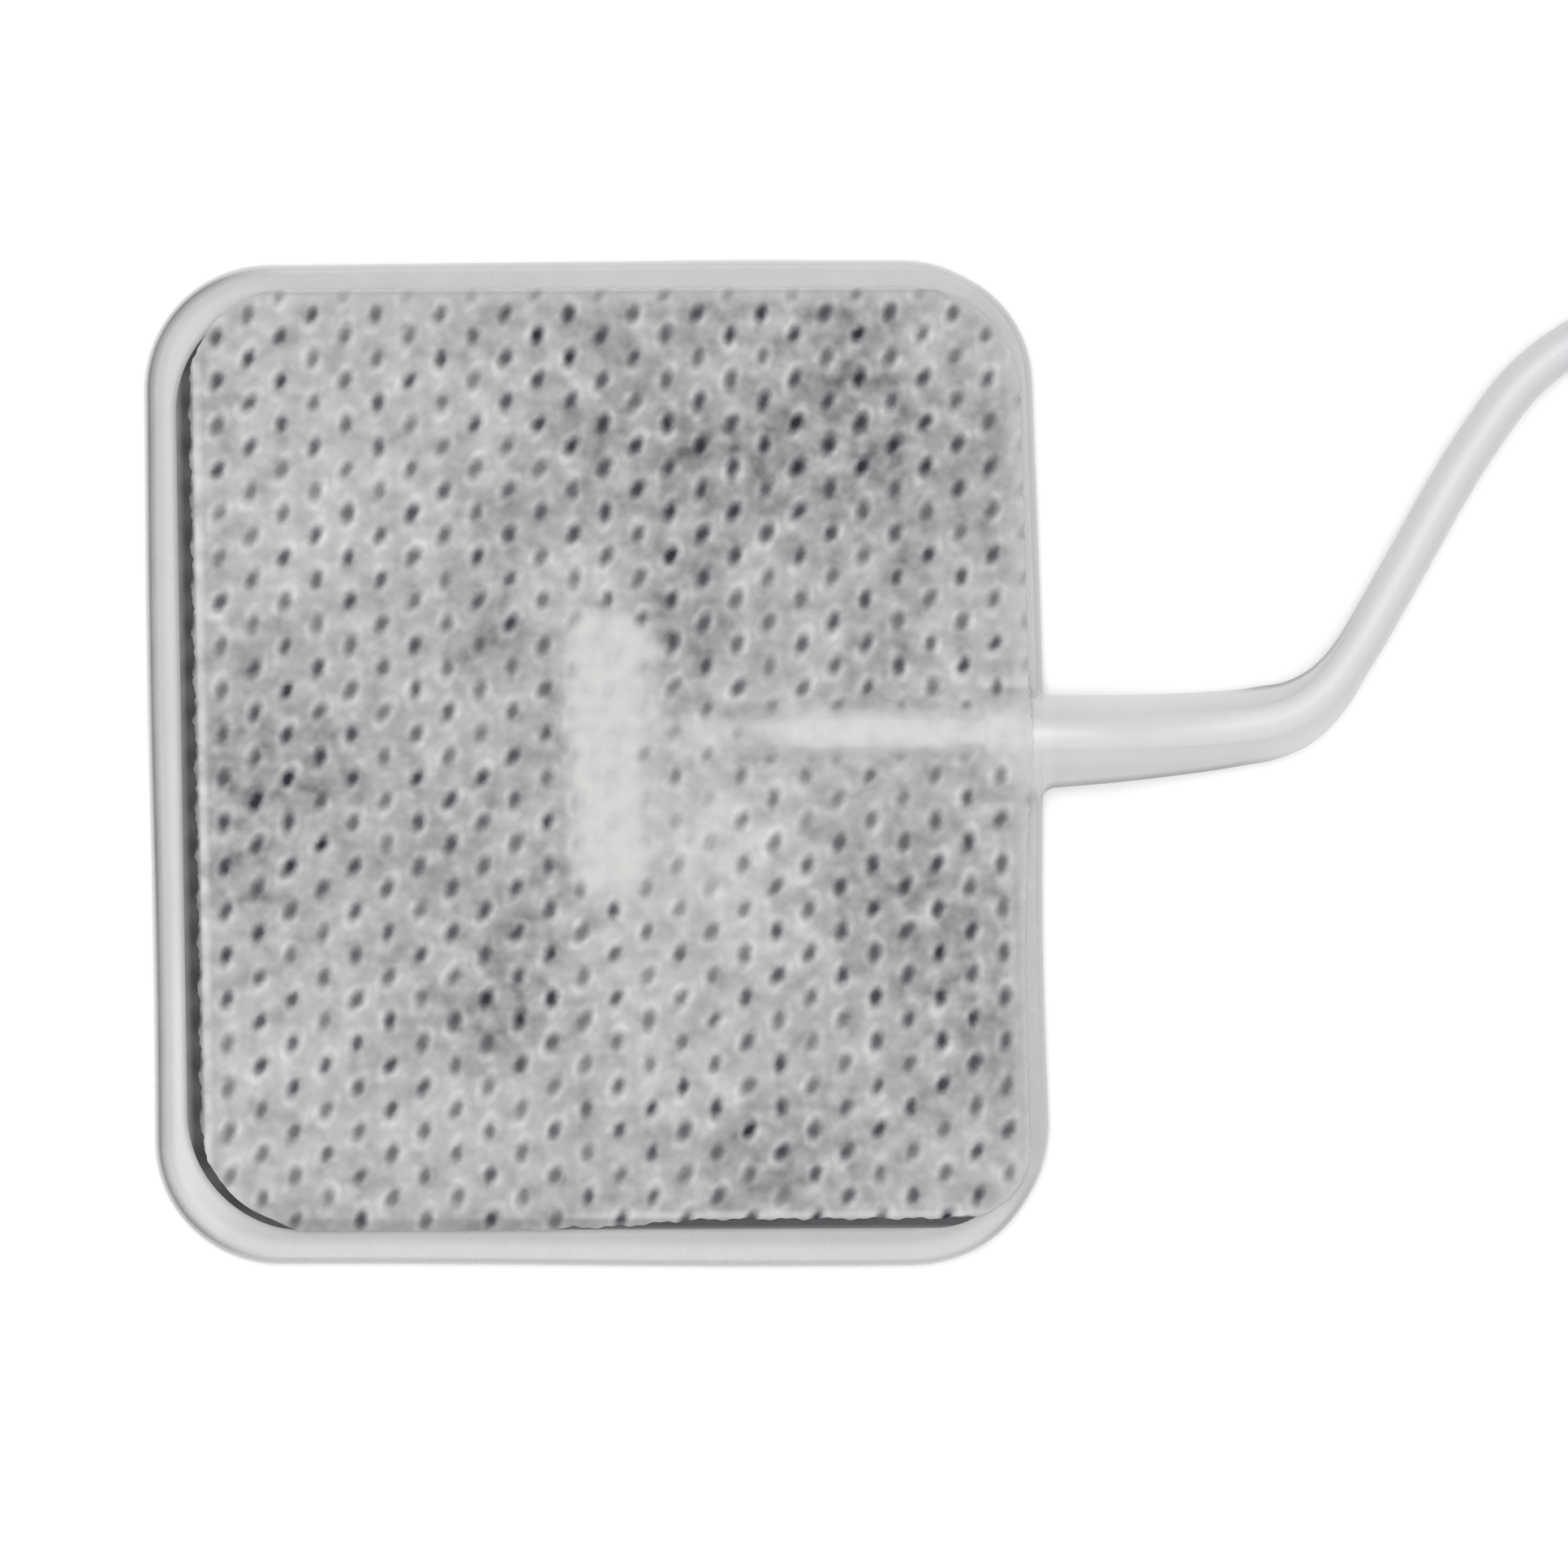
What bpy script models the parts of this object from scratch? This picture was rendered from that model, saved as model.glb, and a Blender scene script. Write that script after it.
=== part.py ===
"""A pregelled electrode pad with its pigtail lead, built as the stack of layers that it is.

The pad lies on its gel, cloth side up. +X points towards the lead, +Y runs along the longer side
and +Z is up. The origin is the middle of the gel's lower face, which is the face for the skin.
"""

import math

import bmesh
import bpy
from mathutils import Matrix, Vector
from mathutils.geometry import delaunay_2d_cdt

MM = 0.001

# The gel, whose outline is the pad's
PAD_WIDTH = 45.2 * MM
PAD_LENGTH = 50.8 * MM
PAD_CORNER_RADIUS = 6.2 * MM
GEL_THICKNESS = 1.1 * MM
GEL_EDGE_ROUNDING = 0.4 * MM

# The carbon film and the cloth, cut by one die and laid down a little out of register
RIM_WIDTH = 1.75 * MM
DIE_CORNER_RADIUS = 5.4 * MM
FILM_THICKNESS = 0.12 * MM
CLOTH_THICKNESS = 0.28 * MM
CLOTH_SHIFT_X = 0.7 * MM
CLOTH_SHIFT_Y = 0.35 * MM

# The glue line between two bonded layers, and the room under cloth drawn over something
GLUE_LINE = 0.03 * MM
DRAPE_CLEARANCE = 0.06 * MM
DRAPE_RUN = 1.3 * MM

# The embossed bond points of the cloth: staggered slanting ovals
PIT_PITCH_ACROSS = 3.28 * MM
PIT_PITCH_ALONG = 2.24 * MM
PIT_WIDTH = 0.56 * MM
PIT_LENGTH = 0.9 * MM
PIT_DEPTH = 0.15 * MM
PIT_SLANT = math.radians(24)
PIT_EDGE_MARGIN = 0.25 * MM
PIT_MOST_SLOPE = 0.05 * MM
PIT_SIDES = 6

# The lead
WIRE_DIAMETER = 1.65 * MM
WIRE_OFFSET_Y = 1.4 * MM
WIRE_IN_PAD = 13.6 * MM
CORE_DIAMETER = 0.84 * MM
FAN_WIDTH = 2.4 * MM
FAN_THICKNESS = 0.2 * MM
FAN_DROP = 2.6 * MM
FAN_STRANDS = 7

# The cover patch over the fanned conductor
PATCH_WIDTH = 4.7 * MM
PATCH_LENGTH = 15.0 * MM
PATCH_CORNER_RADIUS = 1.7 * MM
PATCH_THICKNESS = 0.12 * MM
PATCH_X = 1.0 * MM
PATCH_Y = 0.5 * MM

# The clear sleeve that takes the strain where the lead leaves the pad
SLEEVE_WALL = 0.1 * MM
SLEEVE_CLEARANCE = 0.05 * MM
WING_UPPER = 2.0 * MM
WING_LOWER = 2.75 * MM
WING_UPPER_NARROWS = 0.15 * MM
WING_LOWER_NARROWS = 0.75 * MM
WING_NARROWS_OVER = 10.5 * MM
SLEEVE_UNDER_CLOTH = 1.5 * MM
SLEEVE_LENGTH = 38.0 * MM
SLEEVE_TAPER_FROM = 11.0 * MM
SLEEVE_TAPER_TO = 17.8 * MM
SLEEVE_TIP_HALF_WIDTH = 1.1 * MM
SLEEVE_STEP = 1.1 * MM
FLARE_LOWER = 0.8 * MM
FLARE_UPPER = 0.3 * MM
WING_EDGE = 0.12 * MM
WING_DROOP_RUN = 5.0 * MM
SLEEVE_SIDES = 16

# The socket on the lead's far end, a turned shape around its own axis
HOUSING_LENGTH = 19.0 * MM
HOUSING_RADIUS = 2.3 * MM
HOUSING_TAIL_RADIUS = 1.5 * MM
HOUSING_TAIL_LENGTH = 6.5 * MM
HOUSING_CHAMFER = 0.35 * MM
GRIP_RIBS = 5
GRIP_PITCH = 1.1 * MM
GRIP_DEPTH = 0.3 * MM
CONTACT_RADIUS = 1.25 * MM
CONTACT_WALL = 0.22 * MM
CONTACT_LENGTH = 11.0 * MM
CONTACT_RECESS = 0.8 * MM
CONTACT_SLIT = math.radians(16)
CONTACT_CLEARANCE = 0.05 * MM
WIRE_IN_HOUSING = 4.0 * MM
TURNED_SIDES = 20

# Heights that follow from the stack
FILM_BOTTOM = GEL_THICKNESS + GLUE_LINE
FILM_TOP = FILM_BOTTOM + FILM_THICKNESS
CLOTH_BOTTOM = FILM_TOP + GLUE_LINE
WIRE_RADIUS = WIRE_DIAMETER / 2
BORE_RADIUS = WIRE_RADIUS + SLEEVE_CLEARANCE
SLEEVE_HALF_HEIGHT = BORE_RADIUS + SLEEVE_WALL
WIRE_LEVEL = FILM_TOP + GLUE_LINE + SLEEVE_HALF_HEIGHT

# Places that follow from the outline
EXIT_X = PAD_WIDTH / 2
WIRE_CUT_X = EXIT_X - WIRE_IN_PAD
DIE_WIDTH = PAD_WIDTH - 2 * RIM_WIDTH
DIE_LENGTH = PAD_LENGTH - 2 * RIM_WIDTH
CLOTH_RIGHT = DIE_WIDTH / 2 + CLOTH_SHIFT_X
SLEEVE_ROOT_X = CLOTH_RIGHT - SLEEVE_UNDER_CLOTH
WING_DROOP = SLEEVE_HALF_HEIGHT - WING_EDGE
RIDGE_LEAVE = math.radians(62)

# The lead's route over the table, from the cut end under the cloth to the socket: plan
# positions measured from the point on the pad's edge where the lead comes out. It runs off to
# the right, makes one round turn, crosses over itself and ends in the socket.
PAD_STRETCH = [(-13.6, 0.0), (-9.0, 0.0), (-4.5, 0.0), (0.0, 0.0), (0.9, 0.0)]
DROP_STRETCH = [(3.0, 0.03), (5.6, 0.12)]
TABLE_STRETCH = [
    (9.0, 0.33), (11.3, 0.62), (12.95, 1.12), (14.5, 2.25), (16.0, 4.2), (17.7, 7.1),
    (19.3, 9.95), (20.7, 12.45), (22.4, 15.15), (24.6, 18.0), (27.6, 20.2), (31.2, 21.3),
]
TURN_MIDDLE = (39.6, 31.2)
TURN_RADIUS = 9.7
TURN_FROM = -90
TURN_TO = 180
TURN_POINTS = 10
CROSSING_STRETCH = [(29.7, 27.6), (29.8, 24.4), (30.1, 21.1), (30.4, 17.6)]
CROSSING_HEIGHTS = [0.15, 0.75, 1.2, 1.0]
SOCKET_STRETCH = [(30.6, 14.0), (30.6, 11.5), (30.6, 8.5)]


def clear_scene():
    for thing in list(bpy.data.objects):
        bpy.data.objects.remove(thing, do_unlink=True)


def material(name, colour, roughness, metallic=0.0, alpha=1.0):
    made = bpy.data.materials.new(name)
    made.use_nodes = True
    shader = made.node_tree.nodes["Principled BSDF"]
    shader.inputs["Base Color"].default_value = (*colour, 1.0)
    shader.inputs["Roughness"].default_value = roughness
    shader.inputs["Metallic"].default_value = metallic
    shader.inputs["Alpha"].default_value = alpha
    return made


def add_mesh(name, bm, finish, smooth_to=math.radians(35)):
    """One named object from a bmesh, with smooth shading up to an angle between faces."""
    bmesh.ops.recalc_face_normals(bm, faces=bm.faces)
    mesh = bpy.data.meshes.new(name)
    bm.to_mesh(mesh)
    bm.free()
    mesh.materials.append(finish)
    mesh.shade_smooth()
    mesh.set_sharp_from_angle(angle=smooth_to)
    made = bpy.data.objects.new(name, mesh)
    bpy.context.scene.collection.objects.link(made)
    return made


def smooth_step(share):
    """From 0 to 1 with level ends."""
    share = min(max(share, 0.0), 1.0)
    return share * share * (3 - 2 * share)


def rounded_rectangle(width, length, radius, centre=(0.0, 0.0), corner_steps=8):
    """Corner points of a rectangle with round corners, anticlockwise."""
    points = []
    middles = (
        (width / 2 - radius, length / 2 - radius, 0),
        (radius - width / 2, length / 2 - radius, 90),
        (radius - width / 2, radius - length / 2, 180),
        (width / 2 - radius, radius - length / 2, 270),
    )
    for x, y, start in middles:
        for step in range(corner_steps + 1):
            angle = math.radians(start + 90 * step / corner_steps)
            points.append(
                Vector(
                    (
                        centre[0] + x + radius * math.cos(angle),
                        centre[1] + y + radius * math.sin(angle),
                    )
                )
            )
    return points


def distance_outside(x, y, width, length, radius, centre):
    """How far a point is outside a rounded rectangle; negative inside it."""
    over_x = abs(x - centre[0]) - width / 2 + radius
    over_y = abs(y - centre[1]) - length / 2 + radius
    outside = math.hypot(max(over_x, 0.0), max(over_y, 0.0))
    return outside + min(max(over_x, over_y), 0.0) - radius


def slab(outline, bottom, top):
    """A flat plate of that outline, as a bmesh."""
    bm = bmesh.new()
    face = bm.faces.new([bm.verts.new((p.x, p.y, bottom)) for p in outline])
    raised = bmesh.ops.extrude_face_region(bm, geom=[face])["geom"]
    corners = [part for part in raised if isinstance(part, bmesh.types.BMVert)]
    bmesh.ops.translate(bm, verts=corners, vec=(0, 0, top - bottom))
    return bm


def hydrogel_slab(finish):
    """The clear gel: a soft slab with rounded edges all round."""
    bm = slab(rounded_rectangle(PAD_WIDTH, PAD_LENGTH, PAD_CORNER_RADIUS), 0.0, GEL_THICKNESS)
    rims = [edge for edge in bm.edges if abs(edge.verts[0].co.z - edge.verts[1].co.z) < GLUE_LINE]
    bmesh.ops.bevel(
        bm,
        geom=rims,
        offset=min(GEL_EDGE_ROUNDING, GEL_THICKNESS / 2.2),
        segments=3,
        profile=0.5,
        affect="EDGES",
    )
    return add_mesh("hydrogel_slab", bm, finish)


def carbon_film(finish):
    outline = rounded_rectangle(DIE_WIDTH, DIE_LENGTH, DIE_CORNER_RADIUS)
    return add_mesh("carbon_film", slab(outline, FILM_BOTTOM, FILM_TOP), finish)


def strand_shape(x):
    """Axis height, half width and half thickness of the bared conductor at x."""
    spread = smooth_step((WIRE_CUT_X - x) / FAN_DROP)
    low = FILM_TOP + GLUE_LINE + FAN_THICKNESS / 2
    return (
        WIRE_LEVEL + (low - WIRE_LEVEL) * spread,
        (CORE_DIAMETER + (FAN_WIDTH - CORE_DIAMETER) * spread) / 2,
        (CORE_DIAMETER + (FAN_THICKNESS - CORE_DIAMETER) * spread) / 2,
    )


def loft(bm, rings, closed_ends=True):
    """Skins a list of rings of points, each the next one's partner."""
    made = [[bm.verts.new(point) for point in ring] for ring in rings]
    for near, far in zip(made, made[1:]):
        for i in range(len(near)):
            j = (i + 1) % len(near)
            bm.faces.new((near[i], near[j], far[j], far[i]))
    if closed_ends:
        bm.faces.new(made[0])
        bm.faces.new(made[-1])
    return made


def conductor_strands(finish):
    """The bared strands, a round bundle that fans out flat on the carbon film."""
    start = WIRE_CUT_X - GLUE_LINE
    end = PATCH_X - PATCH_WIDTH / 4
    steps = 12
    rings = []
    for step in range(steps + 1):
        x = start + (end - start) * step / steps
        height, half_width, half_thickness = strand_shape(x)
        ring = []
        for i in range(4 * FAN_STRANDS):
            angle = 2 * math.pi * i / (4 * FAN_STRANDS)
            lobe = 0.92 + 0.08 * math.cos(2 * FAN_STRANDS * angle)
            ring.append(
                (
                    x,
                    WIRE_OFFSET_Y + half_width * lobe * math.cos(angle),
                    height + half_thickness * lobe * math.sin(angle),
                )
            )
        rings.append(ring)
    bm = bmesh.new()
    loft(bm, rings)
    return add_mesh("conductor_strands", bm, finish)


def fan_rise(y):
    """How far the flat fan of strands lifts the patch off the film."""
    away = abs(y - WIRE_OFFSET_Y) - FAN_WIDTH / 2
    return (FAN_THICKNESS + DRAPE_CLEARANCE) * (1 - smooth_step(away / DRAPE_RUN))


def patch_bottom(x, y):
    return FILM_TOP + GLUE_LINE + fan_rise(y)


def over_wire(away):
    """Height of the cloth's underside over the film, at a distance from the wire's axis.

    The cloth follows the round wire down its sides and then runs out to the film.
    """
    reach = WIRE_RADIUS + DRAPE_CLEARANCE
    axis = WIRE_LEVEL - CLOTH_BOTTOM
    leave_at = reach * math.sin(RIDGE_LEAVE)
    if away <= leave_at:
        return axis + math.sqrt(reach * reach - away * away)
    height = axis + reach * math.cos(RIDGE_LEAVE)
    run = 2 * height / math.tan(RIDGE_LEAVE)
    share = min((away - leave_at) / run, 1.0)
    return height * (1 - share) ** 2


def root_half_width(above):
    """Half width of the sleeve's root on its upper or its lower side, as seen from above."""
    return WING_UPPER + FLARE_UPPER if above else WING_LOWER + FLARE_LOWER


def over_root(away, above):
    """Height of the cloth's underside over the film where it is drawn over the sleeve's root."""
    share = min(away / root_half_width(above), 1.0)
    crown = SLEEVE_HALF_HEIGHT * (1 - share**2) - WING_DROOP * share**2
    flat = 1 - smooth_step((away - root_half_width(above)) / (DRAPE_RUN / 2))
    return (WIRE_LEVEL + crown + DRAPE_CLEARANCE - CLOTH_BOTTOM) * flat


def cloth_lift(x, y):
    """How far the cloth is held off the film by the wire, the strands and the patch."""
    away = abs(y - WIRE_OFFSET_Y)
    end_run = smooth_step((WIRE_CUT_X - 0.3 * MM - x) / (FAN_DROP + DRAPE_RUN))
    lift = over_wire(away) * (1 - end_run)
    to_root = smooth_step((x - SLEEVE_ROOT_X + DRAPE_CLEARANCE + DRAPE_RUN) / DRAPE_RUN)
    lift = max(lift, over_root(away, y > WIRE_OFFSET_Y) * to_root)
    if PATCH_X < x < WIRE_CUT_X:
        height, half_width, half_thickness = strand_shape(x)
        top = height + half_thickness + DRAPE_CLEARANCE - CLOTH_BOTTOM
        lift = max(lift, top * (1 - smooth_step((away - half_width) / DRAPE_RUN)))
    outside = distance_outside(
        x, y, PATCH_WIDTH, PATCH_LENGTH, PATCH_CORNER_RADIUS, (PATCH_X, PATCH_Y)
    )
    on_patch = PATCH_THICKNESS + GLUE_LINE + DRAPE_CLEARANCE + fan_rise(y)
    return max(lift, on_patch * (1 - smooth_step((outside - DRAPE_CLEARANCE) / DRAPE_RUN)))


def triangulate(outline, points, lines=()):
    """Corners and triangles of the flat region inside an outline, through given points and lines."""
    coords = list(outline) + list(points)
    edges = []
    for line in lines:
        first = len(coords)
        coords += line
        edges += [(first + i, first + i + 1) for i in range(len(line) - 1)]
    scaled = [Vector(point) / MM for point in coords]
    made = delaunay_2d_cdt(scaled, edges, [list(range(len(outline)))], 1, 1e-4)
    return [point * MM for point in made[0]], made[2]


def key(point):
    return (round(point.x / MM, 3), round(point.y / MM, 3))


def draped_sheet(outline, shared, lines, top_only, top_height, bottom_height):
    """A thin sheet between two height functions, as a bmesh. top_only refines the upper face."""
    bm = bmesh.new()
    rims = []
    for extra, height, flipped in ((top_only, top_height, False), ([], bottom_height, True)):
        points, triangles = triangulate(outline, shared + extra, lines)
        made = [bm.verts.new((p.x, p.y, height(p.x, p.y))) for p in points]
        for triangle in triangles:
            corners = [made[i] for i in triangle]
            bm.faces.new(corners[::-1] if flipped else corners)
        rims.append({key(p): corner for p, corner in zip(points, made)})
    upper = {corner: place for place, corner in rims[0].items()}
    for edge in [edge for edge in bm.edges if edge.is_boundary]:
        if edge.verts[0] in upper and edge.verts[1] in upper:
            a, b = edge.verts
            bm.faces.new((a, b, rims[1][upper[b]], rims[1][upper[a]]))
    return bm


def cover_patch(finish):
    """The insulating patch that holds the fan of strands down on the film."""
    outline = rounded_rectangle(
        PATCH_WIDTH, PATCH_LENGTH, PATCH_CORNER_RADIUS, (PATCH_X, PATCH_Y), 5
    )
    stations = [FAN_WIDTH / 2, FAN_WIDTH / 2 + DRAPE_RUN / 2, FAN_WIDTH / 2 + DRAPE_RUN]
    lines = []
    for away in stations:
        for y in (WIRE_OFFSET_Y - away, WIRE_OFFSET_Y + away):
            ends = [Vector((PATCH_X + side * PATCH_WIDTH / 2, y)) for side in (-1, 1)]
            lines.append(ends)
    sides = [line[0] for line in lines] + [line[1] for line in lines]
    outline = with_points(outline, sides)
    bm = draped_sheet(
        outline,
        [],
        lines,
        [],
        lambda x, y: patch_bottom(x, y) + PATCH_THICKNESS,
        patch_bottom,
    )
    return add_mesh("cover_patch", bm, finish)


def with_points(outline, extra):
    """The outline with further points put in where they lie on one of its sides."""
    found = []
    for here, after in zip(outline, outline[1:] + outline[:1]):
        side = after - here
        on_side = []
        for point in extra:
            share = (point - here).dot(side) / max(side.length_squared, 1e-18)
            if 0.001 < share < 0.999 and (here + side * share - point).length < GLUE_LINE / 10:
                on_side.append((share, point))
        found.append(here)
        found += [point for _, point in sorted(on_side, key=lambda pair: pair[0])]
    return found


def wire_stations():
    """Distances from the wire's axis at which the cloth's slope over the wire is sampled."""
    reach = WIRE_RADIUS + DRAPE_CLEARANCE
    on_wire = [reach * math.sin(RIDGE_LEAVE * share / 3) for share in (1, 2, 3)]
    run = 2 * over_wire(on_wire[-1]) / math.tan(RIDGE_LEAVE)
    return on_wire + [on_wire[-1] + run * share for share in (0.3, 0.62, 1.0)]


def root_stations(above):
    """The same over the sleeve's root, above the corners of its section."""
    half = SLEEVE_SIDES // 2
    shares = [math.cos(2 * math.pi * (step + 0.5) / SLEEVE_SIDES) for step in range(half // 2)]
    reach = root_half_width(above)
    return [reach * share for share in reversed(shares)] + [reach + DRAPE_RUN / 2]


def drape_grid():
    """Lines along the wire and points on and round the patch, where the cloth is lifted."""
    start = PATCH_X + PATCH_WIDTH / 2 + DRAPE_RUN
    cut = WIRE_CUT_X - 0.3 * MM
    steps = 7
    xs = [start + (cut - start) * step / steps for step in range(steps + 1)]
    root = SLEEVE_ROOT_X - DRAPE_CLEARANCE
    lines = [[Vector((x, WIRE_OFFSET_Y)) for x in xs + [root - DRAPE_RUN, root, CLOTH_RIGHT]]]
    for side in (-1, 1):
        for away in wire_stations():
            y = WIRE_OFFSET_Y + side * away
            lines.append([Vector((x, y)) for x in xs + [root - DRAPE_RUN]])
        for away in root_stations(side > 0):
            y = WIRE_OFFSET_Y + side * away
            lines.append([Vector((x, y)) for x in (root, CLOTH_RIGHT)])
    points = []
    rise = [root - DRAPE_RUN * share for share in (1.0, 0.75, 0.5, 0.25)]
    for side in (-1, 1):
        for away in root_stations(side > 0):
            points += [Vector((x, WIRE_OFFSET_Y + side * away)) for x in rise]
        beyond = WIRE_OFFSET_Y + side * (root_half_width(side > 0) + DRAPE_RUN)
        points += [Vector((x, beyond)) for x in rise + [root]]
    for grow in (DRAPE_CLEARANCE, DRAPE_RUN / 2, DRAPE_RUN + DRAPE_CLEARANCE):
        points += rounded_rectangle(
            PATCH_WIDTH + 2 * grow,
            PATCH_LENGTH + 2 * grow,
            PATCH_CORNER_RADIUS + grow,
            (PATCH_X, PATCH_Y),
            4,
        )
    bump = [FAN_WIDTH / 2, FAN_WIDTH / 2 + DRAPE_RUN / 2, FAN_WIDTH / 2 + DRAPE_RUN]
    for away in [0.0] + [side * away for away in bump for side in (-1, 1)]:
        for share in (-0.5, -0.25, 0.0, 0.25, 0.5):
            points.append(Vector((PATCH_X + share * PATCH_WIDTH, WIRE_OFFSET_Y + away)))
    return points, lines


def pit_rim(x, y):
    """The corners of one embossed oval, which slants to the right at its upper end."""
    rim = []
    for i in range(PIT_SIDES):
        angle = 2 * math.pi * (i + 0.5) / PIT_SIDES
        across = PIT_WIDTH / 2 * math.sin(angle)
        along = PIT_LENGTH / 2 * math.cos(angle)
        rim.append(
            Vector(
                (
                    x + across * math.cos(PIT_SLANT) + along * math.sin(PIT_SLANT),
                    y - across * math.sin(PIT_SLANT) + along * math.cos(PIT_SLANT),
                )
            )
        )
    return rim


def by_root(x, y):
    """Whether a bond point there would meet the cloth's rise over the sleeve's root."""
    reach = root_half_width(y > WIRE_OFFSET_Y) + DRAPE_RUN / 2 + PIT_LENGTH / 2
    start = SLEEVE_ROOT_X - DRAPE_CLEARANCE - DRAPE_RUN
    return x > start and abs(y - WIRE_OFFSET_Y) < reach


def pit_centres():
    """The staggered lattice of bond points, wherever the cloth lies flat."""
    centre = (CLOTH_SHIFT_X, CLOTH_SHIFT_Y)
    across = int(DIE_WIDTH / PIT_PITCH_ACROSS) + 2
    along = int(DIE_LENGTH / PIT_PITCH_ALONG) + 2
    found = []
    for column in range(-across, across + 1):
        for row in range(-along, along + 1):
            x = centre[0] + column * PIT_PITCH_ACROSS / 2
            y = centre[1] + row * PIT_PITCH_ALONG / 2
            if (column + row) % 2 == 0 or by_root(x, y):
                continue
            edge = max(
                distance_outside(p.x, p.y, DIE_WIDTH, DIE_LENGTH, DIE_CORNER_RADIUS, centre)
                for p in pit_rim(x, y)
            )
            lifts = [cloth_lift(p.x, p.y) for p in pit_rim(x, y)]
            if edge < -PIT_EDGE_MARGIN and max(lifts) - min(lifts) < PIT_MOST_SLOPE:
                found.append((x, y))
    return found


def backing_cloth(finish):
    """The non-woven cloth, embossed all over and drawn over the wire and the patch."""
    points, lines = drape_grid()
    outline = rounded_rectangle(
        DIE_WIDTH, DIE_LENGTH, DIE_CORNER_RADIUS, (CLOTH_SHIFT_X, CLOTH_SHIFT_Y)
    )
    outline = with_points(outline, [line[-1] for line in lines])
    pits = pit_centres()
    room = PIT_LENGTH / 2 + DRAPE_CLEARANCE
    points = [p for p in points if all((p - Vector(pit)).length > room for pit in pits)]
    sunk = {key(Vector(pit)) for pit in pits}
    embossing = [point for x, y in pits for point in [Vector((x, y))] + pit_rim(x, y)]

    def bottom(x, y):
        return CLOTH_BOTTOM + cloth_lift(x, y)

    def top(x, y):
        pit = PIT_DEPTH if key(Vector((x, y))) in sunk else 0.0
        return bottom(x, y) + CLOTH_THICKNESS - pit

    bm = draped_sheet(outline, points, lines, embossing, top, bottom)
    return add_mesh("backing_cloth", bm, finish, math.radians(20))


def lead_route():
    """The route's own points in space, from under the cloth to inside the socket."""
    turn = []
    for i in range(TURN_POINTS):
        angle = math.radians(TURN_FROM + (TURN_TO - TURN_FROM) * i / (TURN_POINTS - 1))
        turn.append(
            (
                TURN_MIDDLE[0] + TURN_RADIUS * math.cos(angle),
                TURN_MIDDLE[1] + TURN_RADIUS * math.sin(angle),
            )
        )
    sleeve_rest = SLEEVE_HALF_HEIGHT
    drop = WIRE_LEVEL - sleeve_rest
    stretches = (
        (PAD_STRETCH, lambda share: WIRE_LEVEL),
        (DROP_STRETCH, lambda share: sleeve_rest + drop * (0.85 - 0.5 * share)),
        (TABLE_STRETCH[:-1], lambda share: sleeve_rest),
        (TABLE_STRETCH[-1:] + turn, lambda share: WIRE_RADIUS),
        (CROSSING_STRETCH, None),
        (SOCKET_STRETCH, lambda share: HOUSING_RADIUS),
    )
    points = []
    for stretch, height in stretches:
        for i, (x, y) in enumerate(stretch):
            share = i / max(len(stretch) - 1, 1)
            if height is None:
                z = WIRE_RADIUS + CROSSING_HEIGHTS[i] * WIRE_DIAMETER
            else:
                z = height(share)
            points.append(Vector((EXIT_X + x * MM, WIRE_OFFSET_Y + y * MM, z)))
    return points


def smooth_curve(points, steps=16):
    """A centripetal Catmull-Rom curve through the points, as many short steps."""
    points = [2 * points[0] - points[1], *points, 2 * points[-1] - points[-2]]
    dense = []
    for a, b, c, d in zip(points, points[1:], points[2:], points[3:]):
        t1 = math.sqrt((b - a).length)
        t2 = t1 + math.sqrt((c - b).length)
        t3 = t2 + math.sqrt((d - c).length)
        for step in range(steps):
            t = t1 + (t2 - t1) * step / steps
            ab = a.lerp(b, t / t1)
            bc = b.lerp(c, (t - t1) / (t2 - t1))
            cd = c.lerp(d, (t - t2) / (t3 - t2))
            abc = ab.lerp(bc, t / t2)
            bcd = bc.lerp(cd, (t - t1) / (t3 - t1))
            dense.append(abc.lerp(bcd, (t - t1) / (t2 - t1)))
    dense.append(points[-2])
    return dense


class Path:
    """A smooth line that gives the point at a distance along it."""

    def __init__(self, points):
        self.points = smooth_curve(points)
        self.marks = [0.0]
        for here, after in zip(self.points, self.points[1:]):
            self.marks.append(self.marks[-1] + (after - here).length)
        self.length = self.marks[-1]

    def at(self, distance):
        for i, mark in enumerate(self.marks[1:], 1):
            if distance <= mark:
                share = (distance - self.marks[i - 1]) / (mark - self.marks[i - 1])
                return self.points[i - 1].lerp(self.points[i], share)
        return self.points[-1].copy()


def even_steps(start, end, step):
    count = max(2, math.ceil((end - start) / step))
    return [start + (end - start) * i / count for i in range(count + 1)]


def sleeve_span():
    """Distances along the lead at which the sleeve begins, passes the pad's edge and ends."""
    edge = WIRE_IN_PAD
    return edge - (EXIT_X - SLEEVE_ROOT_X), edge, edge + SLEEVE_LENGTH


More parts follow.
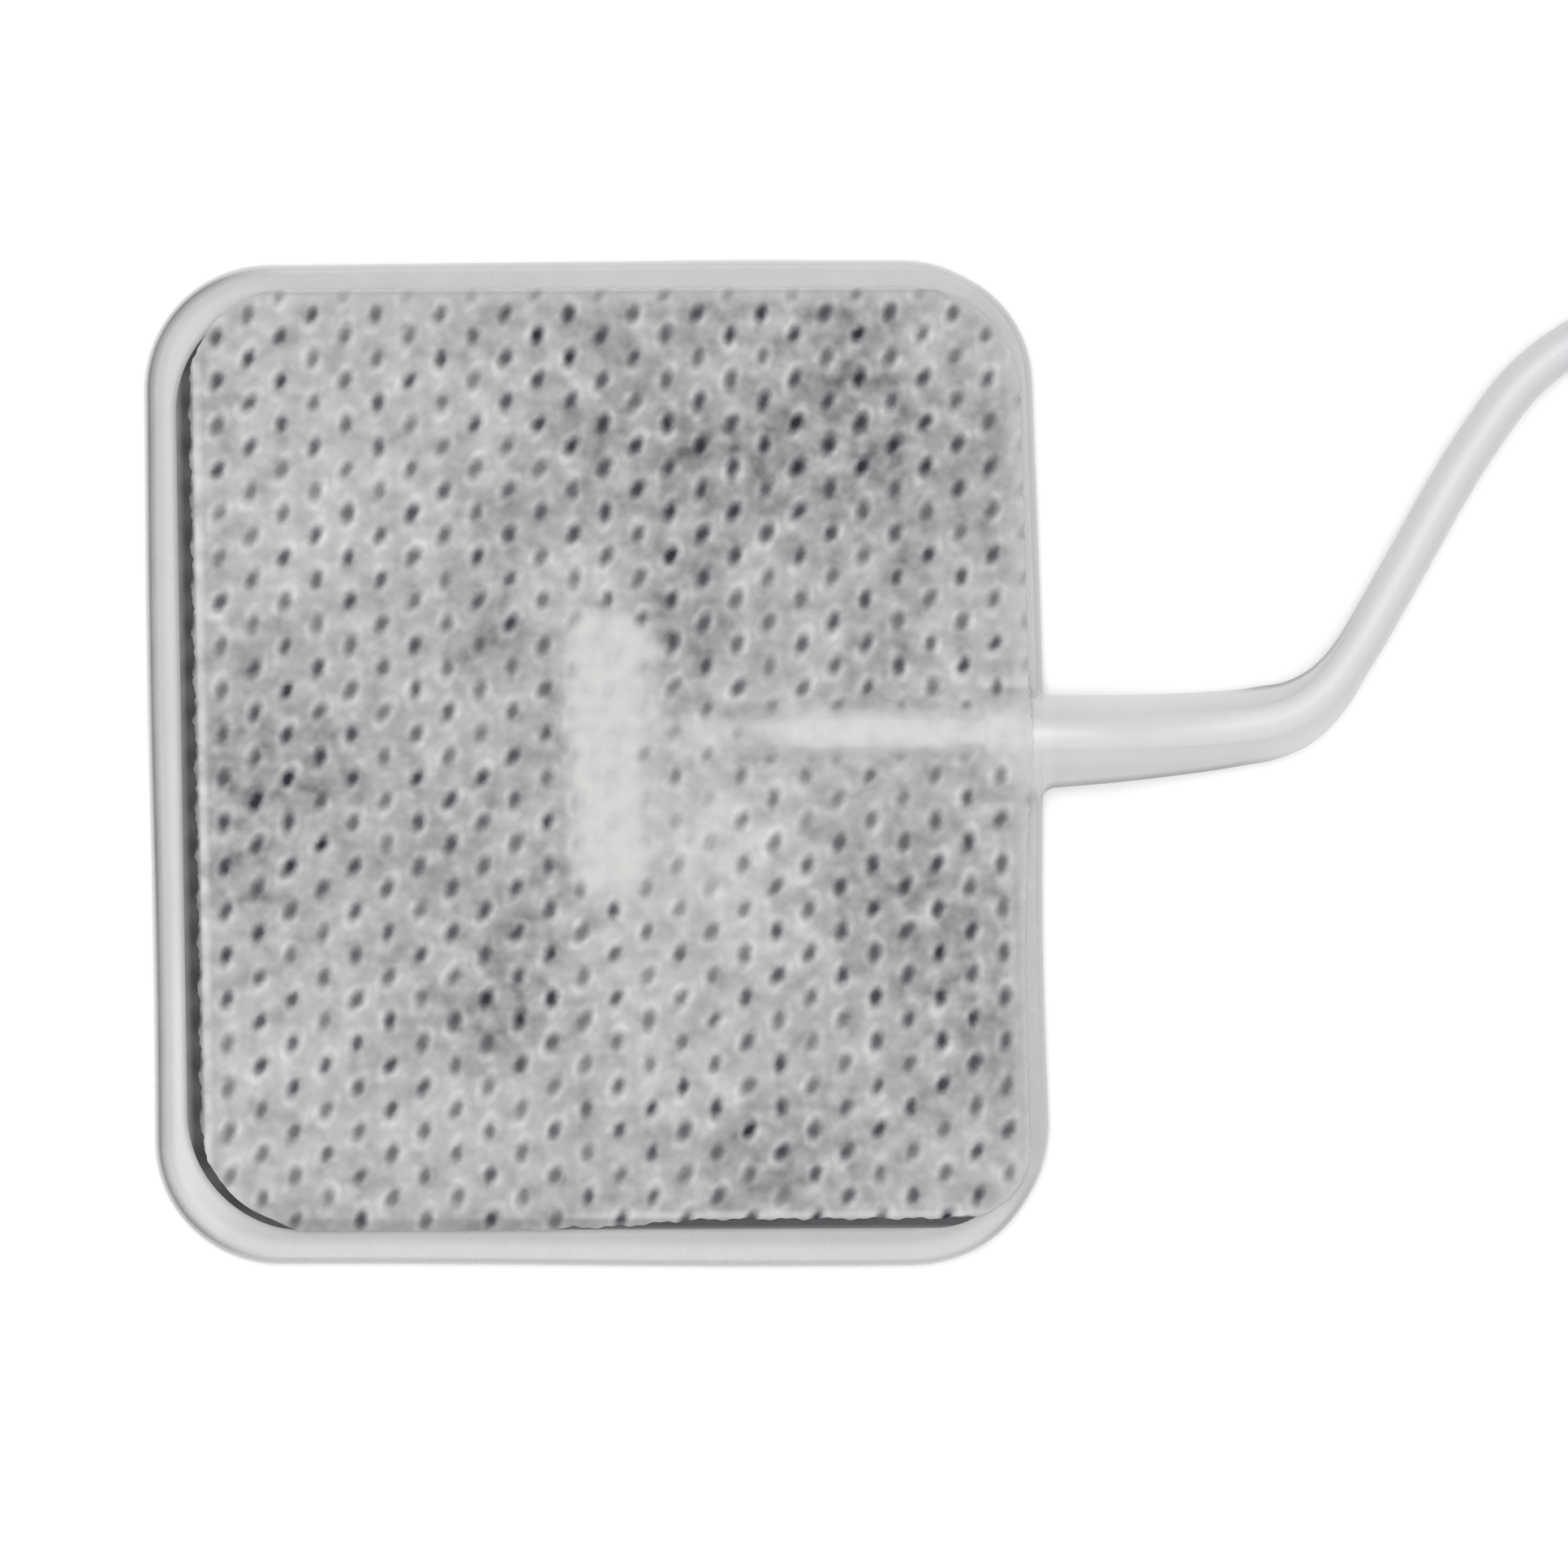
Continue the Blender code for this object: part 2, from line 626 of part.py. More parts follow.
def lead_wire(path, finish):
    """The insulated wire, one tube from its cut end under the cloth into the socket."""
    root, _, tip = sleeve_span()
    marks = (
        even_steps(0.0, root, 2.5 * WIRE_DIAMETER)[:-1]
        + even_steps(root, tip, SLEEVE_STEP)
        + even_steps(tip, path.length, 1.5 * WIRE_DIAMETER)[1:]
    )
    curve = bpy.data.curves.new("lead_wire", "CURVE")
    curve.dimensions = "3D"
    curve.bevel_depth = WIRE_RADIUS
    curve.bevel_resolution = 2
    curve.use_fill_caps = True
    spline = curve.splines.new("POLY")
    spline.points.add(len(marks) - 1)
    for point, mark in zip(spline.points, marks):
        point.co = (*path.at(mark), 1.0)
    spline.use_smooth = True
    curve.materials.append(finish)
    made = bpy.data.objects.new("lead_wire", curve)
    bpy.context.scene.collection.objects.link(made)
    return made


def sleeve_section(beyond, taper):
    """Corners of the sleeve's outer section, as (sideways, up) from the wire's axis.

    Eye-shaped with thin wings at the pad, where the wings droop flat on to what they are glued
    to. The wings narrow evenly up to the bend, and past it the sleeve is nearly round.
    """
    corners = []
    droop = WING_DROOP * (1 - smooth_step(beyond / WING_DROOP_RUN))
    narrowed = min(max(beyond / WING_NARROWS_OVER, 0.0), 1.0)
    sharpness = 2 - taper
    for step in range(SLEEVE_SIDES):
        angle = 2 * math.pi * (step + 0.5) / SLEEVE_SIDES
        across, up = math.cos(angle), math.sin(angle)
        if across > 0:
            root = WING_UPPER - WING_UPPER_NARROWS * narrowed + fillet(beyond, FLARE_UPPER)
        else:
            root = WING_LOWER - WING_LOWER_NARROWS * narrowed + fillet(beyond, FLARE_LOWER)
        reach = root + (SLEEVE_TIP_HALF_WIDTH - root) * taper
        lens = math.copysign(abs(up) ** sharpness, up)
        corners.append((reach * across, SLEEVE_HALF_HEIGHT * lens - droop * across**2))
    return corners


def strain_relief_sleeve(path, finish):
    """The clear sleeve: winged and wide at the pad, slim and round past the bend, with a bore."""
    root, edge, tip = sleeve_span()
    marks = even_steps(root, edge, SLEEVE_STEP)[:-1] + even_steps(edge, tip, SLEEVE_STEP)
    for share in (0.5, 0.2):
        marks.append(edge + FLARE_LOWER * share)
    marks.sort()
    outer, inner = [], []
    for mark in marks:
        centre = path.at(mark)
        forward = (path.at(mark + SLEEVE_STEP / 2) - path.at(mark - SLEEVE_STEP / 2)).normalized()
        side = Vector((0, 0, 1)).cross(forward).normalized()
        up = forward.cross(side)
        taper = smooth_step(
            (mark - edge - SLEEVE_TAPER_FROM) / (SLEEVE_TAPER_TO - SLEEVE_TAPER_FROM)
        )
        outer.append(
            [centre + side * across + up * rise for across, rise in sleeve_section(mark - edge, taper)]
        )
        bore = []
        for step in range(SLEEVE_SIDES):
            angle = 2 * math.pi * (step + 0.5) / SLEEVE_SIDES
            bore.append(
                centre
                + side * BORE_RADIUS * math.cos(angle)
                + up * BORE_RADIUS * math.sin(angle)
            )
        inner.append(bore)
    bm = bmesh.new()
    skin = loft(bm, outer, closed_ends=False)
    lining = loft(bm, inner, closed_ends=False)
    for rim, hole in ((skin[0], lining[0]), (skin[-1], lining[-1])):
        for i in range(SLEEVE_SIDES):
            j = (i + 1) % SLEEVE_SIDES
            bm.faces.new((rim[i], rim[j], hole[j], hole[i]))
    return add_mesh("strain_relief_sleeve", bm, finish, math.radians(50))


def fillet(beyond, radius):
    """Extra half width of the flared root at a distance beyond the pad's edge."""
    if beyond >= radius:
        return 0.0
    inward = 1 - max(beyond, 0.0) / radius
    return radius * (1 - math.sqrt(max(1 - inward * inward, 0.0)))


def turned(profile, sides, start=0.0, sweep=2 * math.pi):
    """A profile of (distance along, radius) spun round the X axis, as a bmesh."""
    bm = bmesh.new()
    corners = [bm.verts.new((along, radius, 0.0)) for along, radius in profile]
    edges = [bm.edges.new(pair) for pair in zip(corners, corners[1:])]
    bmesh.ops.rotate(bm, verts=corners, cent=(0, 0, 0), matrix=Matrix.Rotation(start, 3, "X"))
    bmesh.ops.spin(
        bm,
        geom=corners + edges,
        axis=(1, 0, 0),
        cent=(0, 0, 0),
        angle=sweep,
        steps=sides,
        use_merge=abs(sweep - 2 * math.pi) < 1e-6,
    )
    bmesh.ops.remove_doubles(bm, verts=bm.verts, dist=1e-7)
    return bm


def housing_profile():
    """From the bottom of the wire's bore, out over the grip and back into the contact's bore."""
    wire_bore = WIRE_RADIUS + 2 * SLEEVE_CLEARANCE
    contact_bore = CONTACT_RADIUS + CONTACT_CLEARANCE
    grip_start = HOUSING_TAIL_LENGTH + GRIP_PITCH / 2
    profile = [
        (WIRE_IN_HOUSING + GLUE_LINE, 0.0),
        (WIRE_IN_HOUSING + GLUE_LINE, wire_bore),
        (0.0, wire_bore),
        (0.0, HOUSING_TAIL_RADIUS),
        (HOUSING_TAIL_LENGTH, HOUSING_RADIUS),
    ]
    for rib in range(GRIP_RIBS):
        start = grip_start + rib * GRIP_PITCH
        profile += [
            (start, HOUSING_RADIUS),
            (start + 0.2 * GRIP_PITCH, HOUSING_RADIUS - GRIP_DEPTH),
            (start + 0.5 * GRIP_PITCH, HOUSING_RADIUS - GRIP_DEPTH),
            (start + 0.7 * GRIP_PITCH, HOUSING_RADIUS),
        ]
    profile += [
        (HOUSING_LENGTH - HOUSING_CHAMFER, HOUSING_RADIUS),
        (HOUSING_LENGTH, HOUSING_RADIUS - HOUSING_CHAMFER),
        (HOUSING_LENGTH, contact_bore),
        (HOUSING_LENGTH - CONTACT_RECESS - CONTACT_LENGTH - GLUE_LINE, contact_bore),
        (HOUSING_LENGTH - CONTACT_RECESS - CONTACT_LENGTH - GLUE_LINE, 0.0),
    ]
    return profile


def socket(path, housing_finish, contact_finish):
    """The moulded housing and the slit metal contact inside it, on the wire's last stretch."""
    end = path.at(path.length)
    forward = (end - path.at(path.length - WIRE_IN_HOUSING)).normalized()
    place = end - forward * WIRE_IN_HOUSING
    heading = math.atan2(forward.y, forward.x)
    housing = add_mesh("socket_housing", turned(housing_profile(), TURNED_SIDES), housing_finish)
    inside = CONTACT_RADIUS - CONTACT_WALL
    mouth = HOUSING_LENGTH - CONTACT_RECESS
    section = [
        (mouth - CONTACT_LENGTH, inside),
        (mouth - CONTACT_LENGTH, CONTACT_RADIUS),
        (mouth, CONTACT_RADIUS),
        (mouth, inside),
        (mouth - CONTACT_LENGTH, inside),
    ]
    tube = turned(section, TURNED_SIDES, CONTACT_SLIT / 2, 2 * math.pi - CONTACT_SLIT)
    bmesh.ops.holes_fill(tube, edges=[edge for edge in tube.edges if edge.is_boundary])
    contact = add_mesh("socket_contact", tube, contact_finish)
    for piece in (housing, contact):
        piece.location = place
        piece.rotation_euler = (0, 0, heading)
    return housing, contact


def build():
    clear_scene()
    gel = material("clear_gel", (0.80, 0.82, 0.81), 0.18, alpha=0.55)
    carbon = material("carbon_black", (0.035, 0.035, 0.04), 0.55)
    copper = material("tinned_strands", (0.70, 0.66, 0.60), 0.35, metallic=1.0)
    tape = material("white_tape", (0.80, 0.80, 0.78), 0.5)
    cloth = material("white_nonwoven", (0.62, 0.62, 0.63), 0.95)
    clear = material("clear_sleeve", (0.84, 0.84, 0.83), 0.25, alpha=0.6)
    white = material("white_insulation", (0.86, 0.86, 0.87), 0.4)
    shell = material("white_moulding", (0.84, 0.84, 0.85), 0.45)
    nickel = material("nickel_plate", (0.72, 0.70, 0.66), 0.28, metallic=1.0)
    path = Path(lead_route())
    hydrogel_slab(gel)
    carbon_film(carbon)
    conductor_strands(copper)
    cover_patch(tape)
    backing_cloth(cloth)
    lead_wire(path, white)
    strain_relief_sleeve(path, clear)
    socket(path, shell, nickel)


build()
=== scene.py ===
# %% [markdown]
# # The looks of a pregelled electrode pad
#
# The real pad is a thin stack that sticks to the skin: a clear gel, a black carbon film that
# spreads the current, a white patch over the bared end of the lead, and an embossed cloth that
# covers them all. A short white lead leaves it through a clear winged sleeve and ends in a socket
# for a pin.
#
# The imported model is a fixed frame, and no shape in it is changed. Each step below makes one finer
# piece that takes the place of a plain solid, and prints what it made. Lengths are in millimetres
# until a mesh is made.

import math

import bpy
import numpy as np
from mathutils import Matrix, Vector


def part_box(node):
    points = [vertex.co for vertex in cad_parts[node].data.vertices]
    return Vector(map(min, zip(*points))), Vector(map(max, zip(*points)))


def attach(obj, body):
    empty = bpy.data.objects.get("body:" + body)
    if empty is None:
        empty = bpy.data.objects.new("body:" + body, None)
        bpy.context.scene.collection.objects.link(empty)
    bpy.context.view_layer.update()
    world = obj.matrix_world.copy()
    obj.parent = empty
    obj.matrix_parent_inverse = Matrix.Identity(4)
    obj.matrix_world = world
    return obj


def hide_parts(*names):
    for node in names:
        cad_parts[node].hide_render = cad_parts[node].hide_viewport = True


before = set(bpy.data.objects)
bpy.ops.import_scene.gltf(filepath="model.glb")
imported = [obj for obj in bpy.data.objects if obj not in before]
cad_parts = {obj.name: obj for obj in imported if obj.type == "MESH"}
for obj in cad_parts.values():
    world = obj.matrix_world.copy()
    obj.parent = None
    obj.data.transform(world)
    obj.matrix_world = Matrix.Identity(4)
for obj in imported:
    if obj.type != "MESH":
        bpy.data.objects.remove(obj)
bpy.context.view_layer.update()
print("nodes:", ", ".join(sorted(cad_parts)))

# %% Boxes of the solids


def box_mm(node):
    """Lowest and highest corner of a node, in millimetres."""
    return [[1000 * value for value in corner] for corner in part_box(node)]


GEL = box_mm("hydrogel_slab")
FILM = box_mm("carbon_film")
CLOTH = box_mm("backing_cloth")
PATCH = box_mm("cover_patch")
LAYER_GAP = 0.03
print("pad", [round(GEL[1][i] - GEL[0][i], 1) for i in range(3)], "mm")

# %% [markdown]
# ## Camera and light
#
# The photograph looks straight down. A long lens from far away keeps perspective out of the pad's
# outline, and the frame's width is set in millimetres, so that a distance in the photograph can
# be read as one on the table. Two large soft lamps and a white room light the pad, because small
# hard lamps would draw shadows that the photograph doesn't show.

# %% Camera
FRAME_WIDTH = 79.5
FRAME_MIDDLE = (9.65, -1.1)
PAD_LEVEL = 1.0
LENS = 95.0
SENSOR_WIDTH = 36.0

camera_data = bpy.data.cameras.new("camera")
camera_data.lens = LENS
camera_data.sensor_width = SENSOR_WIDTH
camera_data.clip_start = 0.01
camera = bpy.data.objects.new("camera", camera_data)
height = FRAME_WIDTH * LENS / SENSOR_WIDTH
camera.location = [value / 1000 for value in (*FRAME_MIDDLE, height + PAD_LEVEL)]
bpy.context.scene.collection.objects.link(camera)
bpy.context.scene.camera = camera
bpy.context.scene.view_settings.view_transform = "Standard"
print("camera at", round(height), "mm")

# %% Light
ROOM_STRENGTH = 0.5


def area_light(name, place, size, power):
    """A square soft lamp that faces the pad. place and size are in metres, power in watts."""
    data = bpy.data.lights.new(name, "AREA")
    data.energy = power
    data.size = size
    made = bpy.data.objects.new(name, data)
    made.location = place
    made.rotation_euler = (-Vector(place)).to_track_quat("-Z", "Y").to_euler()
    bpy.context.scene.collection.objects.link(made)


area_light("key", (-0.10, 0.16, 0.88), 0.7, 4.6)
area_light("fill", (0.2, -0.25, 0.86), 0.9, 3.0)

world = bpy.data.worlds.new("room")
bpy.context.scene.world = world
world.use_nodes = True
room = world.node_tree.nodes["Background"]
room.inputs["Color"].default_value = (1.0, 1.0, 1.0, 1.0)
room.inputs["Strength"].default_value = ROOM_STRENGTH
print("lights: key, fill and a white room")

# %% [markdown]
# ## Materials as sums
#
# Every finish here is a sum of simple patterns, such as noise and soft steps. Wired by hand, that
# sum is hard to read and to change. So `Value` wraps one output and overloads the operators:
# `0.5 + noise * 0.2` adds its two Math nodes by itself. `Graph` holds one material, and its `node`
# method adds any other node, with its settings and its sockets.

# %% One output of a node


class Value:
    """One output of a node, used in sums as a number, a vector or a colour."""

    def __init__(self, graph, socket):
        self.graph = graph
        self.socket = socket

    def math(self, operation, *others):
        return self.graph.math(operation, self, *others)

    def __add__(self, other):
        return self.math("ADD", other)

    def __radd__(self, other):
        return self.math("ADD", other)

    def __sub__(self, other):
        return self.math("SUBTRACT", other)

    def __rsub__(self, other):
        return self.graph.math("SUBTRACT", other, self)

    def __mul__(self, other):
        return self.math("MULTIPLY", other)

    def __rmul__(self, other):
        return self.math("MULTIPLY", other)

    def __truediv__(self, other):
        return self.math("DIVIDE", other)

    def __rtruediv__(self, other):
        return self.graph.math("DIVIDE", other, self)

    def __pow__(self, other):
        return self.math("POWER", other)


print("sums are written with + - * / and **")

# %% One material


class Graph:
    """One material, whose nodes are added as they are needed."""

    def __init__(self, name, **constants):
        self.material = bpy.data.materials.new(name)
        self.material.use_nodes = True
        self.tree = self.material.node_tree
        self.shader = self.tree.nodes["Principled BSDF"]
        for socket, value in constants.items():
            self.plug(self.shader.inputs[socket.replace("_", " ").title()], value)
        self.place = self.node("TexCoord", output="Object") * 1000.0

    def plug(self, socket, value):
        """Links a value to a socket, or writes a plain number or colour into it."""
        if isinstance(value, Value):
            self.tree.links.new(value.socket, socket)
        elif socket.type == "RGBA":
            socket.default_value = (*value[:3], 1.0)
        else:
            socket.default_value = value

    def node(self, kind, settings=(), sockets=(), output=0):
        """Adds a node. sockets maps an input's name or number to a value."""
        made = self.tree.nodes.new("ShaderNode" + kind)
        for name, value in dict(settings).items():
            setattr(made, name, value)
        for name, value in dict(sockets).items():
            self.plug(made.inputs[name], value)
        return Value(self, made.outputs[output])

    def math(self, operation, *values):
        """A Math node, or a Vector Math node where one of the values is a vector or a colour."""
        several = any(
            isinstance(value, tuple)
            or (isinstance(value, Value) and value.socket.type in ("VECTOR", "RGBA"))
            for value in values
        )
        if several:
            values = [(v,) * 3 if isinstance(v, (int, float)) else v for v in values]
        kind = "VectorMath" if several else "Math"
        return self.node(kind, {"operation": operation}, dict(enumerate(values)))

    def mix(self, share, start, end):
        """From the first colour to the second."""
        return self.node("Mix", {"data_type": "RGBA"}, {0: share, 6: start, 7: end}, output=2)

    def step(self, value, start, end):
        """Rises smoothly from 0 where value is start to 1 where it is end."""
        sockets = {"Value": value, "From Min": start, "From Max": end}
        return self.node("MapRange", {"interpolation_type": "SMOOTHSTEP"}, sockets)

    def band(self, value, start, full, fade, end):
        """Rises from 0 at start to 1 at full, and falls from 1 at fade to 0 at end."""
        return self.step(value, start, full) * self.step(value, end, fade)

    def clamp(self, value):
        """Keeps a value from 0 to 1."""
        return self.node("Clamp", sockets={"Value": value})

    def noise(self, size, detail=3.0, place=None, rough=0.55):
        """Noise from 0 to 1 with features of about that size, in millimetres."""
        sockets = {
            "Vector": place if place else self.place,
            "Scale": 1.0 / size,
            "Detail": detail,
            "Roughness": rough,
        }
        return self.node("TexNoise", sockets=sockets)

    def split(self, vector=None):
        """The parts of a vector along X, Y and Z. Without one, those of the point's place."""
        made = self.tree.nodes.new("ShaderNodeSeparateXYZ")
        self.plug(made.inputs[0], vector if vector else self.place)
        return [Value(self, output) for output in made.outputs]

    def stored(self, name):
        """A number that the mesh holds for each of its points."""
        return self.node("Attribute", {"attribute_name": name}, output="Fac")

    def finish(self, colour, roughness=None, height=None, bump=1.0):
        """Plugs the patterns in. height is in millimetres."""
        self.plug(self.shader.inputs["Base Color"], colour)
        if roughness is not None:
            self.plug(self.shader.inputs["Roughness"], roughness)
        if height is not None:
            sockets = {"Strength": bump, "Distance": 0.001, "Height": height}
            self.plug(self.shader.inputs["Normal"], self.node("Bump", sockets=sockets))
        return self.material


print("a material starts with its name and its constants")

# %% Screen greys


def grey(level, blue=0):
    """A screen grey from 0 to 255 as a linear colour, with a little blue if asked."""
    found = []
    for shift in (0, 0, blue):
        share = (level + shift) / 255
        found.append(share / 12.92 if share <= 0.04045 else ((share + 0.055) / 1.055) ** 2.4)
    return tuple(found)


print("a screen grey of 128 is", round(grey(128)[0], 3), "in a shader")

# %% [markdown]
# ## Meshes from heights
#
# The layers are cut from flat sheets, and the real pad's sides aren't quite square to its ends.
# So each layer is worked out on a square-cut pad, and its points are leant at the end. A plane
# with modifiers would do for a flat layer, but the cloth needs a height of its own at every point,
# so the meshes are made from arrays. `Sheet` covers a rounded rectangle with rows of points, and
# `plate` sweeps a section round its outline.

# %% The pad's lean
LEAN = 0.0225
TWIST = 0.0003
TILT = 0.0045


def leaning(x, y):
    """Where a point of the square-cut pad lies on the real, slightly leaning one."""
    return x - LEAN * y - TWIST * x * y, y + TILT * x


def squared(x, y):
    """The way back, near enough for a pattern. It takes numbers or a material's values."""
    return x + y * LEAN + x * y * TWIST, y - x * TILT


print("the sides lean by", round(math.degrees(math.atan(LEAN)), 1), "degrees")

# %% One piece


def add_piece(name, points, faces, finish, smooth_to, stored=()):
    """One object from points in millimetres, which rides on the frame's only body.

    Edges sharper than smooth_to degrees stay sharp. stored names the numbers that each point
    holds for the material.
    """
    mesh = bpy.data.meshes.new(name)
    mesh.from_pydata((np.asarray(points, float) / 1000).tolist(), [], faces)
    mesh.validate()
    mesh.materials.append(finish)
    mesh.shade_smooth()
    mesh.set_sharp_from_angle(angle=math.radians(smooth_to))
    for label, values in dict(stored).items():
        mesh.attributes.new(label, "FLOAT", "POINT").data.foreach_set("value", values)
    made = bpy.data.objects.new(name, mesh)
    bpy.context.scene.collection.objects.link(made)
    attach(made, "root")
    print(name, len(mesh.polygons), "faces")
    return made


def grid_faces(rows, columns, closed=False):
    """Quads between rows of points, as index tuples."""
    wrap = columns if closed else columns - 1
    return [
        (r * columns + c, r * columns + (c + 1) % columns,
         (r + 1) * columns + (c + 1) % columns, (r + 1) * columns + c)
        for r in range(rows - 1)
        for c in range(wrap)
    ]


def smooth(share):
    """A smooth rise from 0 to 1, flat before and after."""
    share = np.clip(share, 0.0, 1.0)
    return share * share * (3 - 2 * share)


print("a grid of 3 by 3 points has", len(grid_faces(3, 3)), "faces")

# %% Rows of points


class Sheet:
    """Rows of points over a rounded rectangle, all in millimetres.

    radii are those of the corners, from the upper right one round through the upper left.
    """

    def __init__(self, box, radii, spacing):
        (x0, y0, _), (x1, y1, _) = box
        upper_right, upper_left, lower_left, lower_right = radii
        middle, half_length = (y0 + y1) / 2, (y1 - y0) / 2
        straight = half_length - max(radii)
        turn_steps = max(4, math.ceil(max(radii) * math.pi / 2 / spacing))
        ends = straight + max(radii) * np.sin(np.linspace(0, math.pi / 2, turn_steps + 1))
        inner = np.linspace(-straight, straight, max(2, math.ceil(2 * straight / spacing)))
        rows = np.concatenate([-ends[::-1], inner[1:-1], ends])

        def inset(radius):
            over = np.maximum(np.abs(rows) - (half_length - radius), 0.0)
            return radius - np.sqrt(np.maximum(radius**2 - over**2, 0.0))

        left = x0 + np.where(rows > 0, inset(upper_left), inset(lower_left))
        right = x1 - np.where(rows > 0, inset(upper_right), inset(lower_right))
        across = np.linspace(0, 1, max(3, math.ceil((x1 - x0) / spacing)))
        self.x = left[:, None] + (right - left)[:, None] * across[None, :]
        self.y = np.repeat(middle + rows[:, None], len(across), axis=1)
        self.shape = self.x.shape

    def rim(self):
        """Indices of the border's points, in order round it."""
        rows, columns = self.shape
        count = np.arange(rows * columns).reshape(rows, columns)
        return np.concatenate(
            [count[0, :-1], count[:-1, -1], count[-1, :0:-1], count[:0:-1, 0]]
        )


print("sheet tool ready")

# %% Rounded outlines
CORNER_STEPS = 24
SIDE_STEPS = 60


def outline_points(box, radii):
    """Points round a rounded rectangle, evenly along its sides, and each one's outward way."""
    (x0, y0, _), (x1, y1, _) = box
    places = ((x1, y1, -1, -1), (x0, y1, 1, -1), (x0, y0, 1, 1), (x1, y0, -1, 1))
    corners = [
        (x + way_x * r, y + way_y * r, r, 90 * i)
        for i, ((x, y, way_x, way_y), r) in enumerate(zip(places, radii))
    ]
    points, ways = [], []
    for i, (x, y, radius, start) in enumerate(corners):
        for step in range(CORNER_STEPS + 1):
            angle = math.radians(start + 90 * step / CORNER_STEPS)
            points.append((x + radius * math.cos(angle), y + radius * math.sin(angle)))
            ways.append((math.cos(angle), math.sin(angle)))
        after_x, after_y, after_radius, turn = corners[(i + 1) % 4]
        angle = math.radians(turn)
        after_x += after_radius * math.cos(angle)
        after_y += after_radius * math.sin(angle)
        x, y = points[-1]
        for step in range(1, SIDE_STEPS):
            share = step / SIDE_STEPS
            points.append((x + (after_x - x) * share, y + (after_y - y) * share))
            ways.append(ways[-1])
    return np.array(points), np.array(ways)


def outside(x, y, middle, half, radius):
    """How far a point is outside a rounded rectangle."""
    over_x = np.abs(x - middle[0]) - half[0] + radius
    over_y = np.abs(y - middle[1]) - half[1] + radius
    reach = np.hypot(np.maximum(over_x, 0), np.maximum(over_y, 0))
    return reach + np.minimum(np.maximum(over_x, over_y), 0) - radius


print("an outline has", 4 * (CORNER_STEPS + SIDE_STEPS), "points")

# %% Plates


def plate(name, box, radii, profile, finish, wave=None, marks=()):
    """A plate swept round its outline. profile lists (inset, height) from the underside up.

    wave moves the outline out, and marks names functions of x and y whose values the mesh holds
    for each point.
    """
    points, ways = outline_points(box, radii)
    moved = np.zeros(len(points)) if wave is None else wave(points[:, 0], points[:, 1])
    rings, insets = [], []
    held = {label: [] for label in dict(marks)}
    for inset, height in profile:
        ring = points - ways * (inset - moved)[:, None]
        for label, mark in dict(marks).items():
            held[label].append(mark(ring[:, 0], ring[:, 1]))
        x, y = leaning(ring[:, 0], ring[:, 1])
        rings.append(np.column_stack([x, y, np.full(len(x), height)]))
        insets.append(np.full(len(x), inset))
    count = len(points)
    faces = grid_faces(len(profile), count, closed=True)
    faces.append(tuple(range(count - 1, -1, -1)))
    last = (len(profile) - 1) * count
    faces.append(tuple(range(last, last + count)))
    stored = {"inset": np.concatenate(insets)}
    stored.update({label: np.concatenate(values) for label, values in held.items()})
    return add_piece(name, np.concatenate(rings), faces, finish, smooth_to=50, stored=stored)


print("plate tool ready")

# %% [markdown]
# ## The lead's route
#
# The lead is one soft wire. Its cut end lies under the cloth. It leaves the pad through the clear
# sleeve and bends off to the upper right. Beyond the view it turns once round and over itself,
# and ends in its socket. A wire simulation would settle somewhere new on each change, so the route
# is a list of points on one smooth curve, the same as in the CAD, and `along` gives the point at
# any distance from the cut end.

# %% Lead sizes
EXIT_X = GEL[1][0]
WIRE_OFFSET_Y = 1.4
UNDER_CLOTH = 13.6
WIRE_RADIUS = 0.825
SLEEVE_HALF_HEIGHT = 0.975
WIRE_LEVEL = FILM[1][2] + LAYER_GAP + SLEEVE_HALF_HEIGHT
HOUSING_RADIUS = 2.3
print("wire", 2 * WIRE_RADIUS, "mm thick, its middle", round(WIRE_LEVEL, 2), "mm up at the pad")

# %% Lead route
# Places are (x, y) from the lead's exit at the pad's edge. Those of the crossing also have a
# height, in thicknesses of the wire.
IN_SLEEVE = [
    (9.0, 0.33), (11.3, 0.62), (12.95, 1.12), (14.5, 2.25), (16.0, 4.2), (17.7, 7.1),
    (19.3, 9.95), (20.7, 12.45), (22.4, 15.15), (24.6, 18.0), (27.6, 20.2),
]
TURN_MIDDLE = (39.6, 31.2)
TURN_RADIUS = 9.7
ON_TABLE = [(31.2, 21.3)] + [
    (TURN_MIDDLE[0] + TURN_RADIUS * math.cos(math.radians(angle)),
     TURN_MIDDLE[1] + TURN_RADIUS * math.sin(math.radians(angle)))
    for angle in range(-90, 181, 30)
]
CROSSING = [(29.7, 27.6, 0.15), (29.8, 24.4, 0.75), (30.1, 21.1, 1.2), (30.4, 17.6, 1.0)]
DROP = WIRE_LEVEL - SLEEVE_HALF_HEIGHT
ROUTE = (
    [(x, 0.0, WIRE_LEVEL) for x in (-UNDER_CLOTH, -9.0, -4.5, 0.0, 0.9)]
    + [(3.0, 0.03, SLEEVE_HALF_HEIGHT + 0.85 * DROP)]
    + [(5.6, 0.12, SLEEVE_HALF_HEIGHT + 0.35 * DROP)]
    + [(x, y, SLEEVE_HALF_HEIGHT) for x, y in IN_SLEEVE]
    + [(x, y, WIRE_RADIUS) for x, y in ON_TABLE]
    + [(x, y, WIRE_RADIUS + 2 * WIRE_RADIUS * up) for x, y, up in CROSSING]
    + [(30.6, y, HOUSING_RADIUS) for y in (14.0, 11.5, 8.5)]
)
ROUTE = [Vector((EXIT_X + x, WIRE_OFFSET_Y + y, z)) for x, y, z in ROUTE]
print("route of", len(ROUTE), "points")

# %% Smooth curve
CURVE_STEPS = 24


